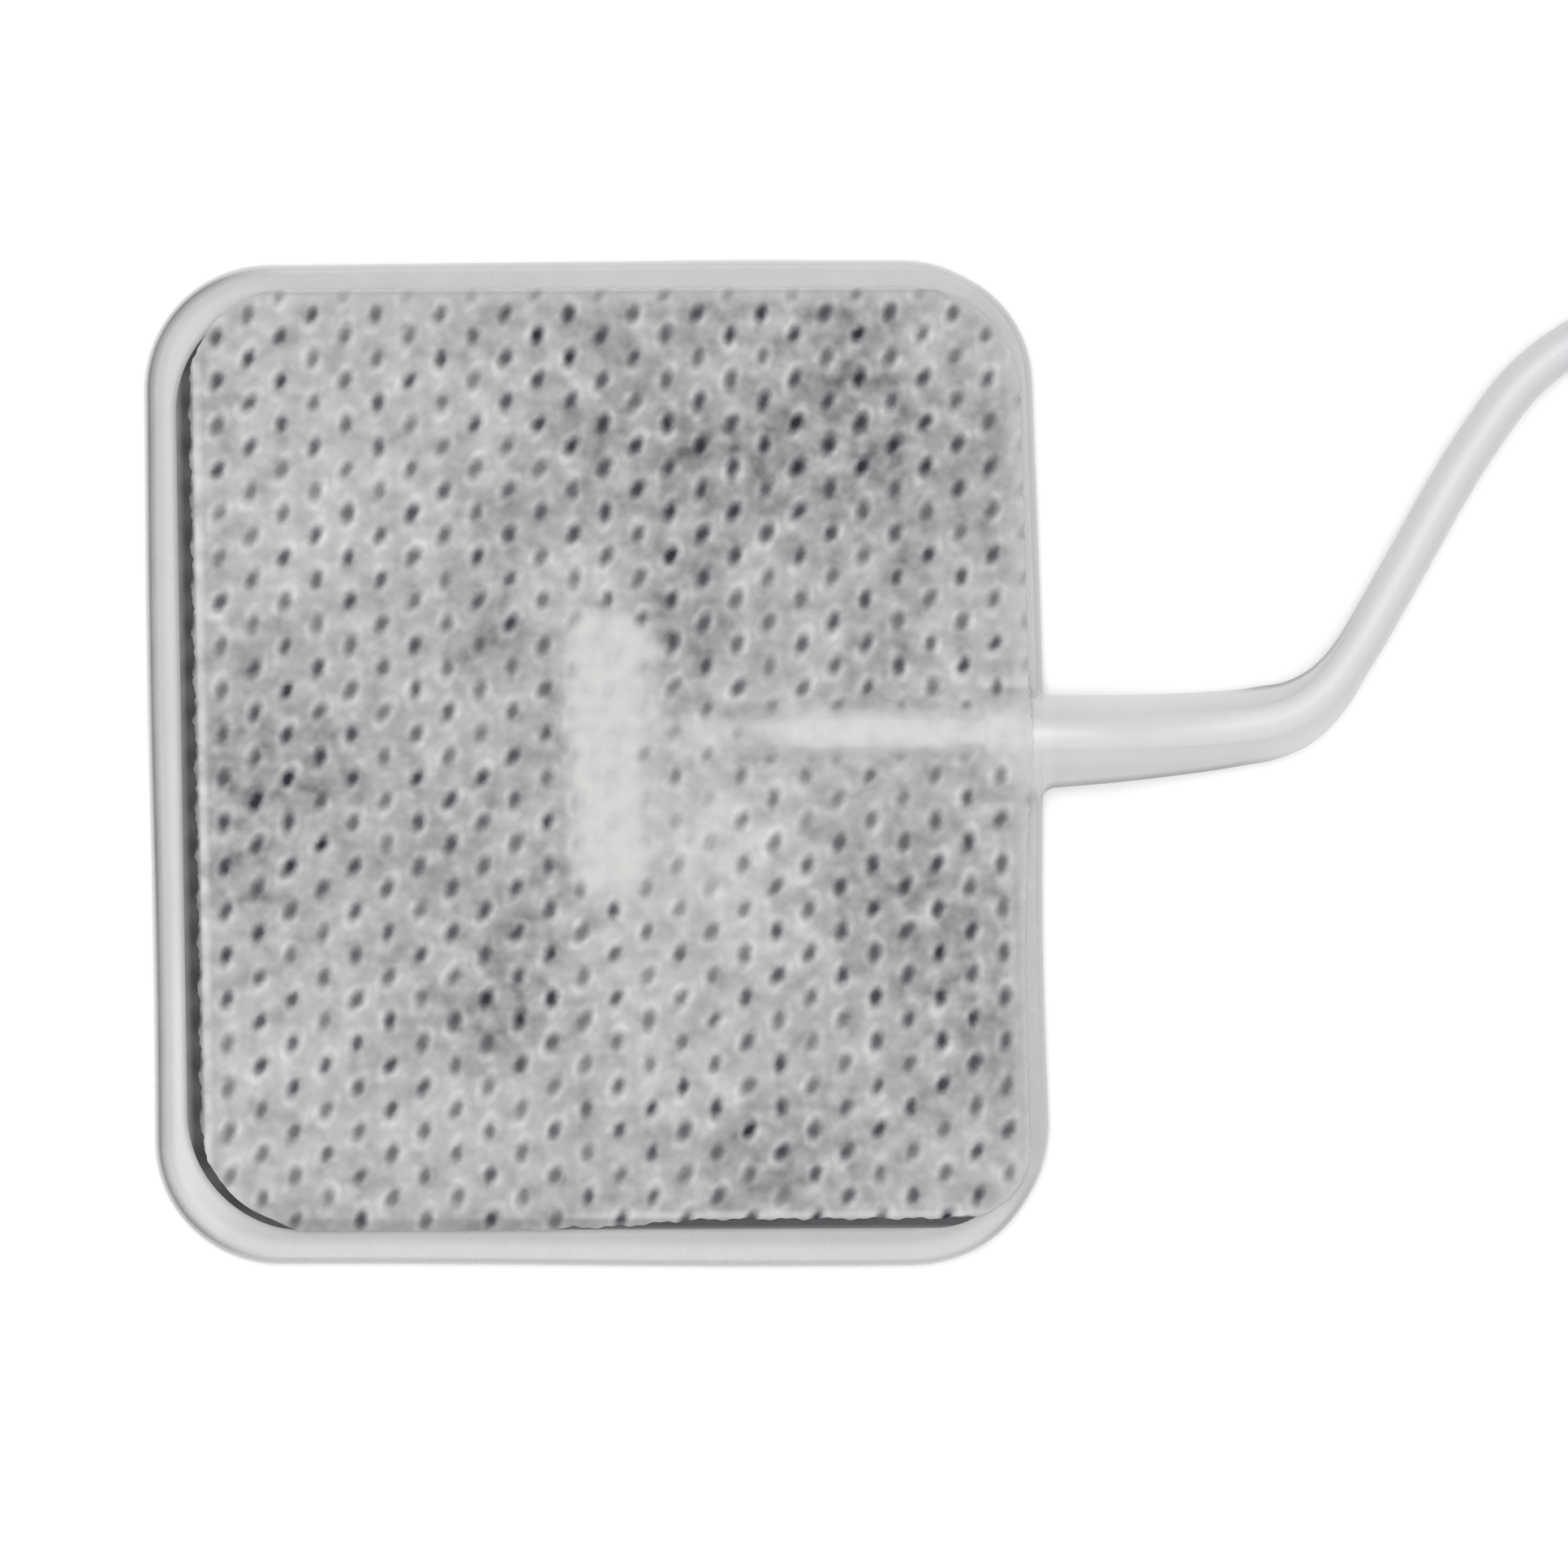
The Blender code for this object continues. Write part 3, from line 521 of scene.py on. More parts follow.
def smooth_curve(points):
    """A centripetal Catmull-Rom curve through the points."""
    points = [2 * points[0] - points[1], *points, 2 * points[-1] - points[-2]]
    dense = []
    for a, b, c, d in zip(points, points[1:], points[2:], points[3:]):
        t1 = math.sqrt((b - a).length)
        t2 = t1 + math.sqrt((c - b).length)
        t3 = t2 + math.sqrt((d - c).length)
        for step in range(CURVE_STEPS):
            t = t1 + (t2 - t1) * step / CURVE_STEPS
            ab = a.lerp(b, t / t1)
            bc = b.lerp(c, (t - t1) / (t2 - t1))
            cd = c.lerp(d, (t - t2) / (t3 - t2))
            before, after = ab.lerp(bc, t / t2), bc.lerp(cd, (t - t1) / (t3 - t1))
            dense.append(before.lerp(after, (t - t1) / (t2 - t1)))
    dense.append(points[-2])
    return dense


CURVE = smooth_curve(ROUTE)
MARKS = [0.0]
for here, after in zip(CURVE, CURVE[1:]):
    MARKS.append(MARKS[-1] + (after - here).length)
LEAD_LENGTH = MARKS[-1]


def along(distance):
    """The point of the route at that distance from the wire's cut end."""
    distance = min(max(distance, 0.0), LEAD_LENGTH)
    i = min(int(np.searchsorted(MARKS, distance, side="right")), len(MARKS) - 1)
    share = (distance - MARKS[i - 1]) / (MARKS[i] - MARKS[i - 1])
    return CURVE[i - 1].lerp(CURVE[i], share)


print("lead of", round(LEAD_LENGTH, 1), "mm, of which", UNDER_CLOTH, "under the cloth")

# %% [markdown]
# ## Wire
#
# The insulation is a soft, nearly matt plastic, so faint noise in its colour and roughness is
# enough. A tube swept by hand could thin in the bends, so the wire is a curve with a round bevel,
# which keeps the same thickness all along.

# %% White insulation
graph = Graph("white_insulation_look", roughness=0.55, coat_weight=0.08, coat_roughness=0.4)
speck = graph.noise(0.35, 4.0)
cloud = graph.noise(6.0, 2.0)
insulation = graph.finish(
    graph.mix(cloud * 0.6 + speck * 0.4, grey(220, 3), grey(230, 3)),
    0.5 + speck * 0.15,
    speck * 0.004,
)
print("made", insulation.name)

# %% Wire
WIRE_STEPS = 320

wire_curve = bpy.data.curves.new("lead_wire_piece", "CURVE")
wire_curve.dimensions = "3D"
wire_curve.bevel_depth = WIRE_RADIUS / 1000
wire_curve.bevel_resolution = 8
wire_curve.use_fill_caps = True
spline = wire_curve.splines.new("POLY")
spline.points.add(WIRE_STEPS)
for i, point in enumerate(spline.points):
    point.co = (*(along(LEAD_LENGTH * i / WIRE_STEPS) / 1000), 1.0)
spline.use_smooth = True
wire_curve.materials.append(insulation)
wire = bpy.data.objects.new("lead_wire_piece", wire_curve)
bpy.context.scene.collection.objects.link(wire)
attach(wire, "root")
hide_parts("lead_wire")
print("wire with", WIRE_STEPS + 1, "points")

# %% [markdown]
# ## Sleeve
#
# The sleeve takes the strain off the wire. It is flat and winged where it is glued between film
# and cloth, and round and slim past its bend, and its root flares out along the pad's edge, more
# below the wire than above it. One section that changes along the route gives all of that, so the
# sleeve is a row of rings with the wire's bore inside.
#
# It is clear but hazy. Glass that bends light would be slow and grainy at this size, so the skin is
# partly see-through, and the wire's white is mixed into its colour. For that each point holds how
# far across its section, how far from the wire and how far beyond the pad's edge it lies. Its cut
# edges have a painted shade line, the upper one at the bend and the lower one before it, and its
# root over the pad's rim is painted lighter, against the shade that its see-through layers cast.

# %% Clear sleeve
WING, WING_SHADED = grey(228, -2), grey(204, 1)
WIRE_BEHIND, ROOT_PAINTED_LIGHT, EDGE_SHADE = grey(225, 3), grey(238), grey(118, 8)

graph = Graph("clear_sleeve_look", roughness=0.3, coat_weight=0.4, coat_roughness=0.2)
streak = graph.noise(1.6)
across, offset, beyond = (graph.stored(name) for name in ("across", "offset", "beyond"))
by_wire = graph.step(offset * offset, 0.95, 0.62).math("MAXIMUM", graph.step(beyond, 12.0, 16.0))
lower = graph.step(offset, -0.9, -2.0) * graph.step(beyond, 13.0, 10.0)
# Painted shade: a darker line along the cut edges, the upper one at the bend and the lower one
# before it.
shaded_edge_up = graph.step(across, 0.84, 0.98) * graph.band(beyond, 9.5, 12.5, 14.0, 23.0)
shaded_edge_down = graph.step(across, -0.84, -0.99) * graph.band(beyond, -0.2, 0.1, 9.0, 14.0)
sleeve_colour = graph.mix(streak * 0.4 + lower * 0.6, WING, WING_SHADED)
sleeve_colour = graph.mix(by_wire * 0.85, sleeve_colour, WIRE_BEHIND)
# Painted light: the root over the pad's rim is made lighter, against the shade that the see-through
# layers cast there.
sleeve_colour = graph.mix(graph.step(beyond, 1.0, -0.3) * 0.6, sleeve_colour, ROOT_PAINTED_LIGHT)
sleeve_colour = graph.mix(shaded_edge_up * 0.75 + shaded_edge_down * 0.7, sleeve_colour, EDGE_SHADE)
sleeve_look = graph.finish(sleeve_colour, 0.26 + streak * 0.12, streak * 0.02)
over_rim = graph.step(beyond, 0.5, -0.3) * graph.step(across * across, 0.45, 0.97)
graph.plug(graph.shader.inputs["Alpha"], 0.55 - over_rim * 0.54)
print("made", sleeve_look.name)

# %% Sleeve section
SLEEVE_SIDES = 48
# Above and below are the two sides of the wire in the photograph. The wings have a half width
# at the pad's edge, and narrow up to the bend. The root's flare is a fillet against the pad.
ABOVE, BELOW = 1, -1
WINGS = {ABOVE: 2.0, BELOW: 2.75}
NARROWS = {ABOVE: 0.15, BELOW: 0.75}
NARROWED_AT = 10.5
FLARES = {ABOVE: 0.3, BELOW: 0.8}
WING_LEVEL = 0.12
WINGS_FLAT_TO = 5.0
TIP_HALF_WIDTH = 1.1
TAPER_START, TAPER_LENGTH = 11.0, 6.8
BORE_RADIUS = 0.875


def sleeve_ring(distance, bore=False):
    """One ring of points round the wire, outer skin or bore."""
    centre = along(distance)
    forward = (along(distance + 0.4) - along(distance - 0.4)).normalized()
    side = Vector((0, 0, 1)).cross(forward).normalized()
    up = forward.cross(side)
    beyond = distance - UNDER_CLOTH
    taper = float(smooth((beyond - TAPER_START) / TAPER_LENGTH))
    droop = (SLEEVE_HALF_HEIGHT - WING_LEVEL) * (1 - float(smooth(beyond / WINGS_FLAT_TO)))
    ring = []
    for i in range(SLEEVE_SIDES):
        angle = 2 * math.pi * (i + 0.5) / SLEEVE_SIDES
        across, rise = math.cos(angle), math.sin(angle)
        if bore:
            ring.append(centre + side * BORE_RADIUS * across + up * BORE_RADIUS * rise)
            continue
        which = ABOVE if across > 0 else BELOW
        flare = FLARES[which]
        inward = 1 - max(beyond, 0.0) / flare
        extra = flare * (1 - math.sqrt(1 - inward**2)) if 0 < inward <= 1 else 0.0
        narrowed = NARROWS[which] * min(max(beyond / NARROWED_AT, 0.0), 1.0)
        root = WINGS[which] - narrowed + extra
        reach = root + (TIP_HALF_WIDTH - root) * taper
        lens = math.copysign(abs(rise) ** (2 - taper), rise)
        level = SLEEVE_HALF_HEIGHT * lens - droop * across**2
        ring.append(centre + side * reach * across + up * level)
    return ring


print("sleeve", WINGS[ABOVE] + WINGS[BELOW], "mm wide at the pad, then", 2 * TIP_HALF_WIDTH)

# %% Sleeve
SLEEVE_START = UNDER_CLOTH - 2.55
SLEEVE_END = UNDER_CLOTH + 38.0

places = np.concatenate(
    [
        np.linspace(SLEEVE_START, UNDER_CLOTH, 8)[:-1],
        UNDER_CLOTH + np.linspace(0, 1, 9) ** 1.6,
        np.linspace(UNDER_CLOTH + 1.2, SLEEVE_END, 150),
    ]
)
rings = [sleeve_ring(place) for place in places]
rings += [sleeve_ring(place, bore=True) for place in places[::-1]]
points = [tuple(point) for ring in rings for point in ring]
faces = grid_faces(len(rings), SLEEVE_SIDES, closed=True)
last = (len(rings) - 1) * SLEEVE_SIDES
faces += [
    (last + i, last + (i + 1) % SLEEVE_SIDES, (i + 1) % SLEEVE_SIDES, i)
    for i in range(SLEEVE_SIDES)
]
turn = [math.cos(2 * math.pi * (i + 0.5) / SLEEVE_SIDES) for i in range(SLEEVE_SIDES)]
offsets, beyond = [], []
for ring, place in zip(rings, [*places, *places[::-1]]):
    centre = along(place)
    offsets += [math.copysign((point - centre).xy.length, c) for point, c in zip(ring, turn)]
    beyond += [place - UNDER_CLOTH] * SLEEVE_SIDES
stored = {"across": turn * len(rings), "offset": offsets, "beyond": beyond}
sleeve = add_piece(
    "strain_relief_sleeve_piece", points, faces, sleeve_look, smooth_to=60, stored=stored
)
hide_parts("strain_relief_sleeve")

# %% [markdown]
# ## Socket
#
# The photograph doesn't show the lead's far end, so the socket is the usual one for a 2 mm pin: a
# smooth white moulding with a ribbed grip, and a slit metal tube inside that springs on to the
# pin. Both are turned shapes, so each is a profile spun round the socket's own line.

# %% White moulding and plating
graph = Graph("white_moulding_look", roughness=0.4, coat_weight=0.1)
grain = graph.noise(0.25, 5.0)
moulding = graph.finish(
    graph.mix(graph.noise(5.0), grey(216, 1), grey(226, 1)), 0.36 + grain * 0.16, grain * 0.006
)
graph = Graph("nickel_look", metallic=1.0, roughness=0.3)
brushed = graph.noise(0.2, 6.0)
nickel = graph.finish(
    graph.mix(brushed, (0.60, 0.58, 0.53), (0.72, 0.70, 0.66)), 0.22 + brushed * 0.2
)
print("made", moulding.name, "and", nickel.name)

# %% Spun shapes
LATHE_SIDES = 64
IN_SOCKET = 4.0


def lathe(name, profile, finish, smooth_to=40, start=0.0, sweep=2 * math.pi):
    """(distance from the socket's rear, radius) pairs spun round the socket's own line."""
    end = along(LEAD_LENGTH)
    forward = (end - along(LEAD_LENGTH - IN_SOCKET)).normalized()
    rear = end - forward * IN_SOCKET
    side = Vector((0, 0, 1)).cross(forward).normalized()
    up = forward.cross(side)
    whole = abs(sweep - 2 * math.pi) < 1e-6
    turns = LATHE_SIDES if whole else LATHE_SIDES + 1
    points = []
    for distance, radius in profile:
        for i in range(turns):
            angle = start + sweep * i / LATHE_SIDES
            points.append(
                rear + forward * distance + side * radius * math.cos(angle)
                + up * radius * math.sin(angle)
            )
    faces = grid_faces(len(profile), turns, closed=whole)
    if not whole:
        first = [turns * i for i in range(len(profile) - 1)]
        faces += [tuple(first[::-1]), tuple(i + turns - 1 for i in first)]
    return add_piece(name, points, faces, finish, smooth_to)


print("the wire reaches", IN_SOCKET, "mm into its socket")

# %% Housing
HOUSING_LENGTH = 19.0
TAIL_RADIUS, TAIL_LENGTH = 1.5, 6.5
WIRE_HOLE_RADIUS, WIRE_HOLE_DEPTH = 0.93, 4.03
RIBS, RIB_START, RIB_PITCH, GROOVE_WIDTH, GROOVE_DEPTH = 5, 7.05, 1.1, 0.77, 0.3
LIP_RADIUS = 0.35
PIN_BORE_RADIUS, PIN_BORE_DEPTH, PIN_BORE_CHAMFER = 1.3, 11.85, (0.15, 0.12)


def housing_profile():
    """The moulding's section, from its wire hole over the tail and the grip to its mouth."""
    tail, full, end = TAIL_RADIUS, HOUSING_RADIUS, HOUSING_LENGTH
    outline = [(WIRE_HOLE_DEPTH, 0.01), (WIRE_HOLE_DEPTH, WIRE_HOLE_RADIUS)]
    outline += [(0.12, WIRE_HOLE_RADIUS), (0.0, WIRE_HOLE_RADIUS + 0.12)]
    outline += [(0.0, tail - 0.2), (0.06, tail - 0.06), (0.2, tail)]
    outline += [
        (TAIL_LENGTH * t, tail + (full - tail) * smooth(t)) for t in np.linspace(0.1, 1.0, 10)
    ]
    for rib in range(RIBS):
        start = RIB_START + RIB_PITCH * rib
        for t in np.linspace(0, 1, 9):
            sunk = GROOVE_DEPTH * math.sin(math.pi * t) ** 0.6
            outline.append((start + GROOVE_WIDTH * t, full - sunk))
    outline.append((end - 0.4, full))
    outline += [
        (end - LIP_RADIUS + LIP_RADIUS * math.sin(a), full - LIP_RADIUS + LIP_RADIUS * math.cos(a))
        for a in np.linspace(0, math.pi / 2, 7)
    ]
    wider, deeper = PIN_BORE_CHAMFER
    outline += [(end, PIN_BORE_RADIUS + wider), (end - deeper, PIN_BORE_RADIUS)]
    return outline + [(end - PIN_BORE_DEPTH, PIN_BORE_RADIUS), (end - PIN_BORE_DEPTH, 0.01)]


housing = lathe("socket_housing_piece", housing_profile(), moulding)
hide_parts("socket_housing")

# %% Contact
CONTACT_END = 18.2
CONTACT_LENGTH = 11.0
CONTACT_INSIDE, CONTACT_OUTSIDE = 1.03, 1.25
SLIT = math.radians(16)

rear = CONTACT_END - CONTACT_LENGTH
tube = [
    (rear, CONTACT_INSIDE), (rear, CONTACT_OUTSIDE), (CONTACT_END - 0.08, CONTACT_OUTSIDE),
    (CONTACT_END, CONTACT_OUTSIDE - 0.07), (CONTACT_END, CONTACT_INSIDE + 0.07),
    (CONTACT_END - 0.1, CONTACT_INSIDE), (rear, CONTACT_INSIDE),
]
contact = lathe(
    "socket_contact_piece", tube, nickel,
    smooth_to=30, start=math.pi / 2 + SLIT / 2, sweep=2 * math.pi - SLIT,
)
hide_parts("socket_contact")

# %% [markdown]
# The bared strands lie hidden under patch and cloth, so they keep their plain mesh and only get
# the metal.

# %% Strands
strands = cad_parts["conductor_strands"].data
strands.materials.clear()
strands.materials.append(nickel)
WIRE_LEVEL / 1000
print("the cord takes along", housing.name, contact.name, sleeve.name)

# %% [markdown]
# ## Gel
#
# The gel is a clear soft slab. All that shows of it is the pale band round the cloth, and what
# makes it look soft is its edge: a rounded shoulder that catches the light and is painted lighter
# too, a thin line of painted shade inside it at the left and bottom, and sides that aren't quite
# straight. Seen from above, a truly clear slab would only show the table, so the gel is a pale
# hazy body, with some light let in under its skin. Its mesh holds how far each point is from the
# edge and from the film.

# %% Clear gel
HAZE_DARK, HAZE_LIGHT = grey(154), grey(189, -1)
EDGE_SHADE_LINE, SHOULDER_LIGHT, FILM_SHADE = grey(90), grey(212), grey(70, 4)

graph = Graph(
    "clear_gel_look", roughness=0.25, coat_weight=0.3, coat_roughness=0.25,
    subsurface_weight=0.3, subsurface_scale=0.0008, subsurface_radius=(1.0, 1.0, 1.0),
)
inset, to_film = graph.stored("inset"), graph.stored("to_film")
haze = graph.noise(2.2)
clouded = graph.noise(1.1) - 0.5
x, y, _ = graph.split()
left = graph.step(x, -15.0, -21.0)
right = graph.step(x, 18.0, 21.5)
below = graph.step(y, -19.0, -23.5)
low_left = left * graph.step(y, -5.0, -13.0)
tone = 0.24 + (haze - 0.5) * 0.5 - right * (0.3 - clouded * 0.8)
tone = tone + left * graph.step(inset, 0.75, 1.25) * (0.45 + low_left * 0.35)
tone = tone + below * (graph.step(inset, 1.5, 0.8) * 0.6 - 0.15)
# Painted shade: a thin dark line inside the edge at the left and, fainter, at the bottom.
line = graph.band(inset, 0.14, 0.3, 0.4, 0.75) * (left * 0.6) * (0.5 + graph.noise(5.0))
line = line.math("MAXIMUM", graph.band(inset, 0.02, 0.16, 0.24, 0.42) * below * 0.3)
shoulder = graph.step(inset, 0.55 - left * 0.25, 0.05) * (1.0 - right * 0.3 - below * 0.35)
by_film = graph.step(to_film, 0.4, 0.0) * left * 0.55
by_film = by_film.math("MAXIMUM", graph.step(to_film, 0.28, 0.0) * below * 0.35)
gel_colour = graph.mix(tone, HAZE_DARK, HAZE_LIGHT)
gel_colour = graph.mix(line, gel_colour, EDGE_SHADE_LINE)
gel_colour = graph.mix(shoulder * 0.8, gel_colour, SHOULDER_LIGHT)
gel_colour = graph.mix(by_film, gel_colour, FILM_SHADE)
gel_look = graph.finish(gel_colour, 0.22 + haze * 0.12, haze * 0.03)
print("made", gel_look.name)

# %% Gel
GEL_CORNERS = (6.2, 6.5, 6.2, 7.2)
FILM_RADIUS = 5.9
FOOT_INSET, FOOT_HEIGHT = 0.30, 0.28
SHOULDER_RADIUS = 0.42
TOP_INSETS = (0.5, 0.6, 0.75, 0.9, 1.05, 1.2, 1.35, 1.5, 1.65, 1.8, 2.0, 2.2, 4.0)


def gel_wave(x, y):
    """How far out the soft rim stands from its straight sides. It isn't quite straight."""
    wave = 0.05 * np.sin(x / 6.1 + 1.3) + 0.05 * np.sin(y / 5.2 + 0.4)
    wave += 0.3 * smooth((y + 12) / 18) * smooth((x - 19) / 3.5)
    wave += 0.08 * smooth(x / 10) * smooth((y - 22) / 3)
    return wave + 0.2 * smooth((x + 8) / 22) * smooth((-22 - y) / 3)


top = GEL[1][2]
gel_profile = [(0.9, 0.0)]
gel_profile += [
    (FOOT_INSET * (1 - math.sin(a)), FOOT_HEIGHT * (1 - math.cos(a)))
    for a in np.linspace(0, math.pi / 2, 6)
]
gel_profile += [
    (SHOULDER_RADIUS * (1 - math.cos(a)), top - SHOULDER_RADIUS + SHOULDER_RADIUS * math.sin(a))
    for a in np.linspace(0.1, math.pi / 2, 8)
]
gel_profile += [(distance, top) for distance in TOP_INSETS]
film_middle = [(FILM[0][i] + FILM[1][i]) / 2 for i in range(2)]
film_half = [(FILM[1][i] - FILM[0][i]) / 2 for i in range(2)]
marks = {"to_film": lambda x, y: outside(x, y, film_middle, film_half, FILM_RADIUS)}
gel = plate("hydrogel_slab_piece", GEL, GEL_CORNERS, gel_profile, gel_look, gel_wave, marks)
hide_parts("hydrogel_slab")

# %% [markdown]
# ## Film
#
# The film is matt black. The cloth is laid a little off to the upper right, so a thin strip of it
# shows at the left and bottom. The strip isn't even: its tone comes and goes with the rows of the
# cloth's bond points, and it is greyer at its outer edge, next to the gel. A cosine with the same
# pitch as the bond points, and two steps from the edges, draw that.

# %% Carbon film
PITCH = (3.27, 2.235)
BEAD_PHASE = 0.7
FILM_DARK, FILM_DUSTY, GEL_OVER_FILM = grey(26, 2), grey(72, 3), grey(138, 1)

graph = Graph("carbon_film_look", roughness=0.5)
dust = graph.noise(0.3, 5.0)
patchy = graph.noise(1.3, 2.0)
x, y, _ = graph.split()
square_x, square_y = squared(x, y)
beads = (y * (2 * math.pi / PITCH[1]) - BEAD_PHASE).math("COSINE")
film_colour = graph.mix(dust * 0.4 + patchy * 0.6 - beads * 0.3, FILM_DARK, FILM_DUSTY)
outer = graph.step(square_x - FILM[0][0], 0.42, -0.05) * (0.35 + patchy * 0.5)
outer = outer.math("MAXIMUM", graph.step(square_y - FILM[0][1], 0.22, 0.0) * 0.4)
film_colour = graph.mix(outer, film_colour, GEL_OVER_FILM)
film_look = graph.finish(film_colour, 0.42 + dust * 0.25, dust * 0.01)
print("made", film_look.name)

# %% Film
FILM_CORNERS = (FILM_RADIUS, FILM_RADIUS, FILM_RADIUS, 4.2)

low, high = FILM[0][2], FILM[1][2]
film_profile = [(0.02, low), (0.0, low + 0.02), (0.0, high - 0.02), (0.03, high)]
film = plate("carbon_film_piece", FILM, FILM_CORNERS, film_profile, film_look)
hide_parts("carbon_film")

# %% [markdown]
# ## How the cloth is draped
#
# The cloth is one thin sheet, drawn over the wire, the sleeve's root and the patch and glued down
# beside them. Cloth simulation could drape it, but it would need a very fine mesh and would settle
# a little differently after each change. Here the drape is a height over the film: round on top of
# the wire, and then one curve that leaves the wire in line with it and runs out flat on the film.
# Where two things lift the cloth, the higher one counts.

# %% Drape
CLOTH_BOTTOM = FILM[1][2] + LAYER_GAP
PATCH_MIDDLE = (1.0, 0.5)
PATCH_HALF = (2.35, 7.5)
PATCH_RADIUS = 1.7
PATCH_LIFT = 0.21
FAN_HEIGHT = 0.26
STRANDS_HEIGHT = 0.5
WIRE_CUT_X = EXIT_X - UNDER_CLOTH
ROOT_X = CLOTH[1][0] - 1.5
OVER_LEAD = 0.06
LEAVES_WIRE = math.radians(54)


def over_wire(away):
    """Height over the film of cloth that is drawn over the round wire."""
    reach, axis = WIRE_RADIUS + OVER_LEAD, WIRE_LEVEL - CLOTH_BOTTOM
    leave_at = reach * math.sin(LEAVES_WIRE)
    height = axis + reach * math.cos(LEAVES_WIRE)
    run = 2 * height / math.tan(LEAVES_WIRE)
    round_part = axis + np.sqrt(np.maximum(reach**2 - away**2, 0))
    foot = height * (1 - np.clip((away - leave_at) / run, 0, 1)) ** 2
    return np.where(away <= leave_at, round_part, foot)


def fan(away):
    """How high the strands, which fan out under the patch, lift it."""
    return FAN_HEIGHT * (1 - smooth((away - 1.2) / 1.3))


def lift(x, y):
    """How far the cloth is held off the film."""
    away = np.abs(y - WIRE_OFFSET_Y)
    end_run = smooth((WIRE_CUT_X - 0.3 - x) / 3.9)
    wire_part = over_wire(away) * (1 - end_run)
    half = np.where(
        y > WIRE_OFFSET_Y, WINGS[ABOVE] + FLARES[ABOVE], WINGS[BELOW] + FLARES[BELOW]
    )
    share = np.minimum(away / half, 1.0)
    crown = SLEEVE_HALF_HEIGHT * (1 - share**2) - (SLEEVE_HALF_HEIGHT - WING_LEVEL) * share**2
    root = (WIRE_LEVEL + crown + OVER_LEAD - CLOTH_BOTTOM) * (1 - smooth((away - half) / 1.2))
    root = root * smooth((x - ROOT_X + 1.36) / 1.3)
    off_patch = outside(x, y, PATCH_MIDDLE, PATCH_HALF, PATCH_RADIUS)
    on_patch = (PATCH_LIFT + fan(away)) * (1 - smooth(off_patch / 1.3))
    strands = STRANDS_HEIGHT * (1 - smooth((away - 0.8) / 1.3))
    strands = strands * (x < WIRE_CUT_X) * (x > PATCH_MIDDLE[0])
    return np.maximum.reduce([wire_part, root, on_patch, strands])


print("over the wire the cloth stands", round(float(over_wire(0.0)), 2), "mm off the film")

# %% [markdown]
# The bond points are where the hot roller pressed the fibres together: slanting ovals on a
# staggered lattice, which is two plain lattices half a pitch apart. The same few numbers place
# the dents in the mesh here and the dark spots in the material later, so that they coincide.

# %% Bond points
# The lattice is placed by the middle of one point. A point has a half width and a half length.
LATTICE = (0.89, 1.48)
POINT_HALF = (0.28, 0.48)
SLANT = math.radians(24)
SHIFTS = (0.0, 0.5)


def pits(x, y):
    """From 0 on the open cloth to 1 in the middle of a bond point."""
    found = np.zeros_like(x)
    for shift in SHIFTS:
        gx = (x - LATTICE[0]) / PITCH[0] - shift
        gy = (y - LATTICE[1]) / PITCH[1] - shift
        fx = (gx - np.round(gx)) * PITCH[0]
        fy = (gy - np.round(gy)) * PITCH[1]
        across = (fx * math.cos(SLANT) - fy * math.sin(SLANT)) / POINT_HALF[0]
        length = (fx * math.sin(SLANT) + fy * math.cos(SLANT)) / POINT_HALF[1]
        found = np.maximum(found, 1 - smooth((np.hypot(across, length) - 0.45) / 0.85))
    return found


print("bond points are", PITCH[0], "mm apart across and", PITCH[1], "mm along")

# %% [markdown]
# ## Patch
#
# The patch is a piece of white tape over the bared strands. Only its pale oblong shows through
# the cloth, so a plain sheet that follows the fanned strands is enough: an upper and a lower
# layer of points, joined round the rim.

# %% Patch
PATCH_THICKNESS = 0.12
PATCH_SPACING = 0.3

graph = Graph("white_tape_look", roughness=0.6)
weave = graph.noise(0.3, 4.0)
tape = graph.finish(graph.mix(weave, grey(205), grey(222)), 0.5 + weave * 0.2, weave * 0.01)
sheet = Sheet(PATCH, (PATCH_RADIUS,) * 4, PATCH_SPACING)
bottom = CLOTH_BOTTOM + fan(np.abs(sheet.y - WIRE_OFFSET_Y))
x, y = leaning(sheet.x, sheet.y)
count = sheet.x.size
upper = np.stack([x, y, bottom + PATCH_THICKNESS], -1).reshape(-1, 3)
lower = np.stack([x, y, bottom], -1).reshape(-1, 3)
faces = grid_faces(*sheet.shape)
faces += [tuple(i + count for i in face[::-1]) for face in faces]
rim = sheet.rim().tolist()
faces += [(a, a + count, b + count, b) for a, b in zip(rim, rim[1:] + rim[:1])]
patch_points = np.concatenate([upper, lower])
patch = add_piece("cover_patch_piece", patch_points, faces, tape, smooth_to=40)
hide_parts("cover_patch")

# %% [markdown]
# ## Cloth
#
# Two things make the cloth look real: its border and its height. The border is cut through the
# rows of bond points, so it is finely scalloped at the left, and at the bottom it draws back
# towards the right, which shows the film. The height is the drape, less the pressed points and
# the rounded edges. The underside only shows at the border, so the mesh is the upper side and one
# strip round it.

# %% Cloth border
CLOTH_CORNERS = (5.4, 5.2, 5.2, 3.8)
CLOTH_SPACING = 0.165

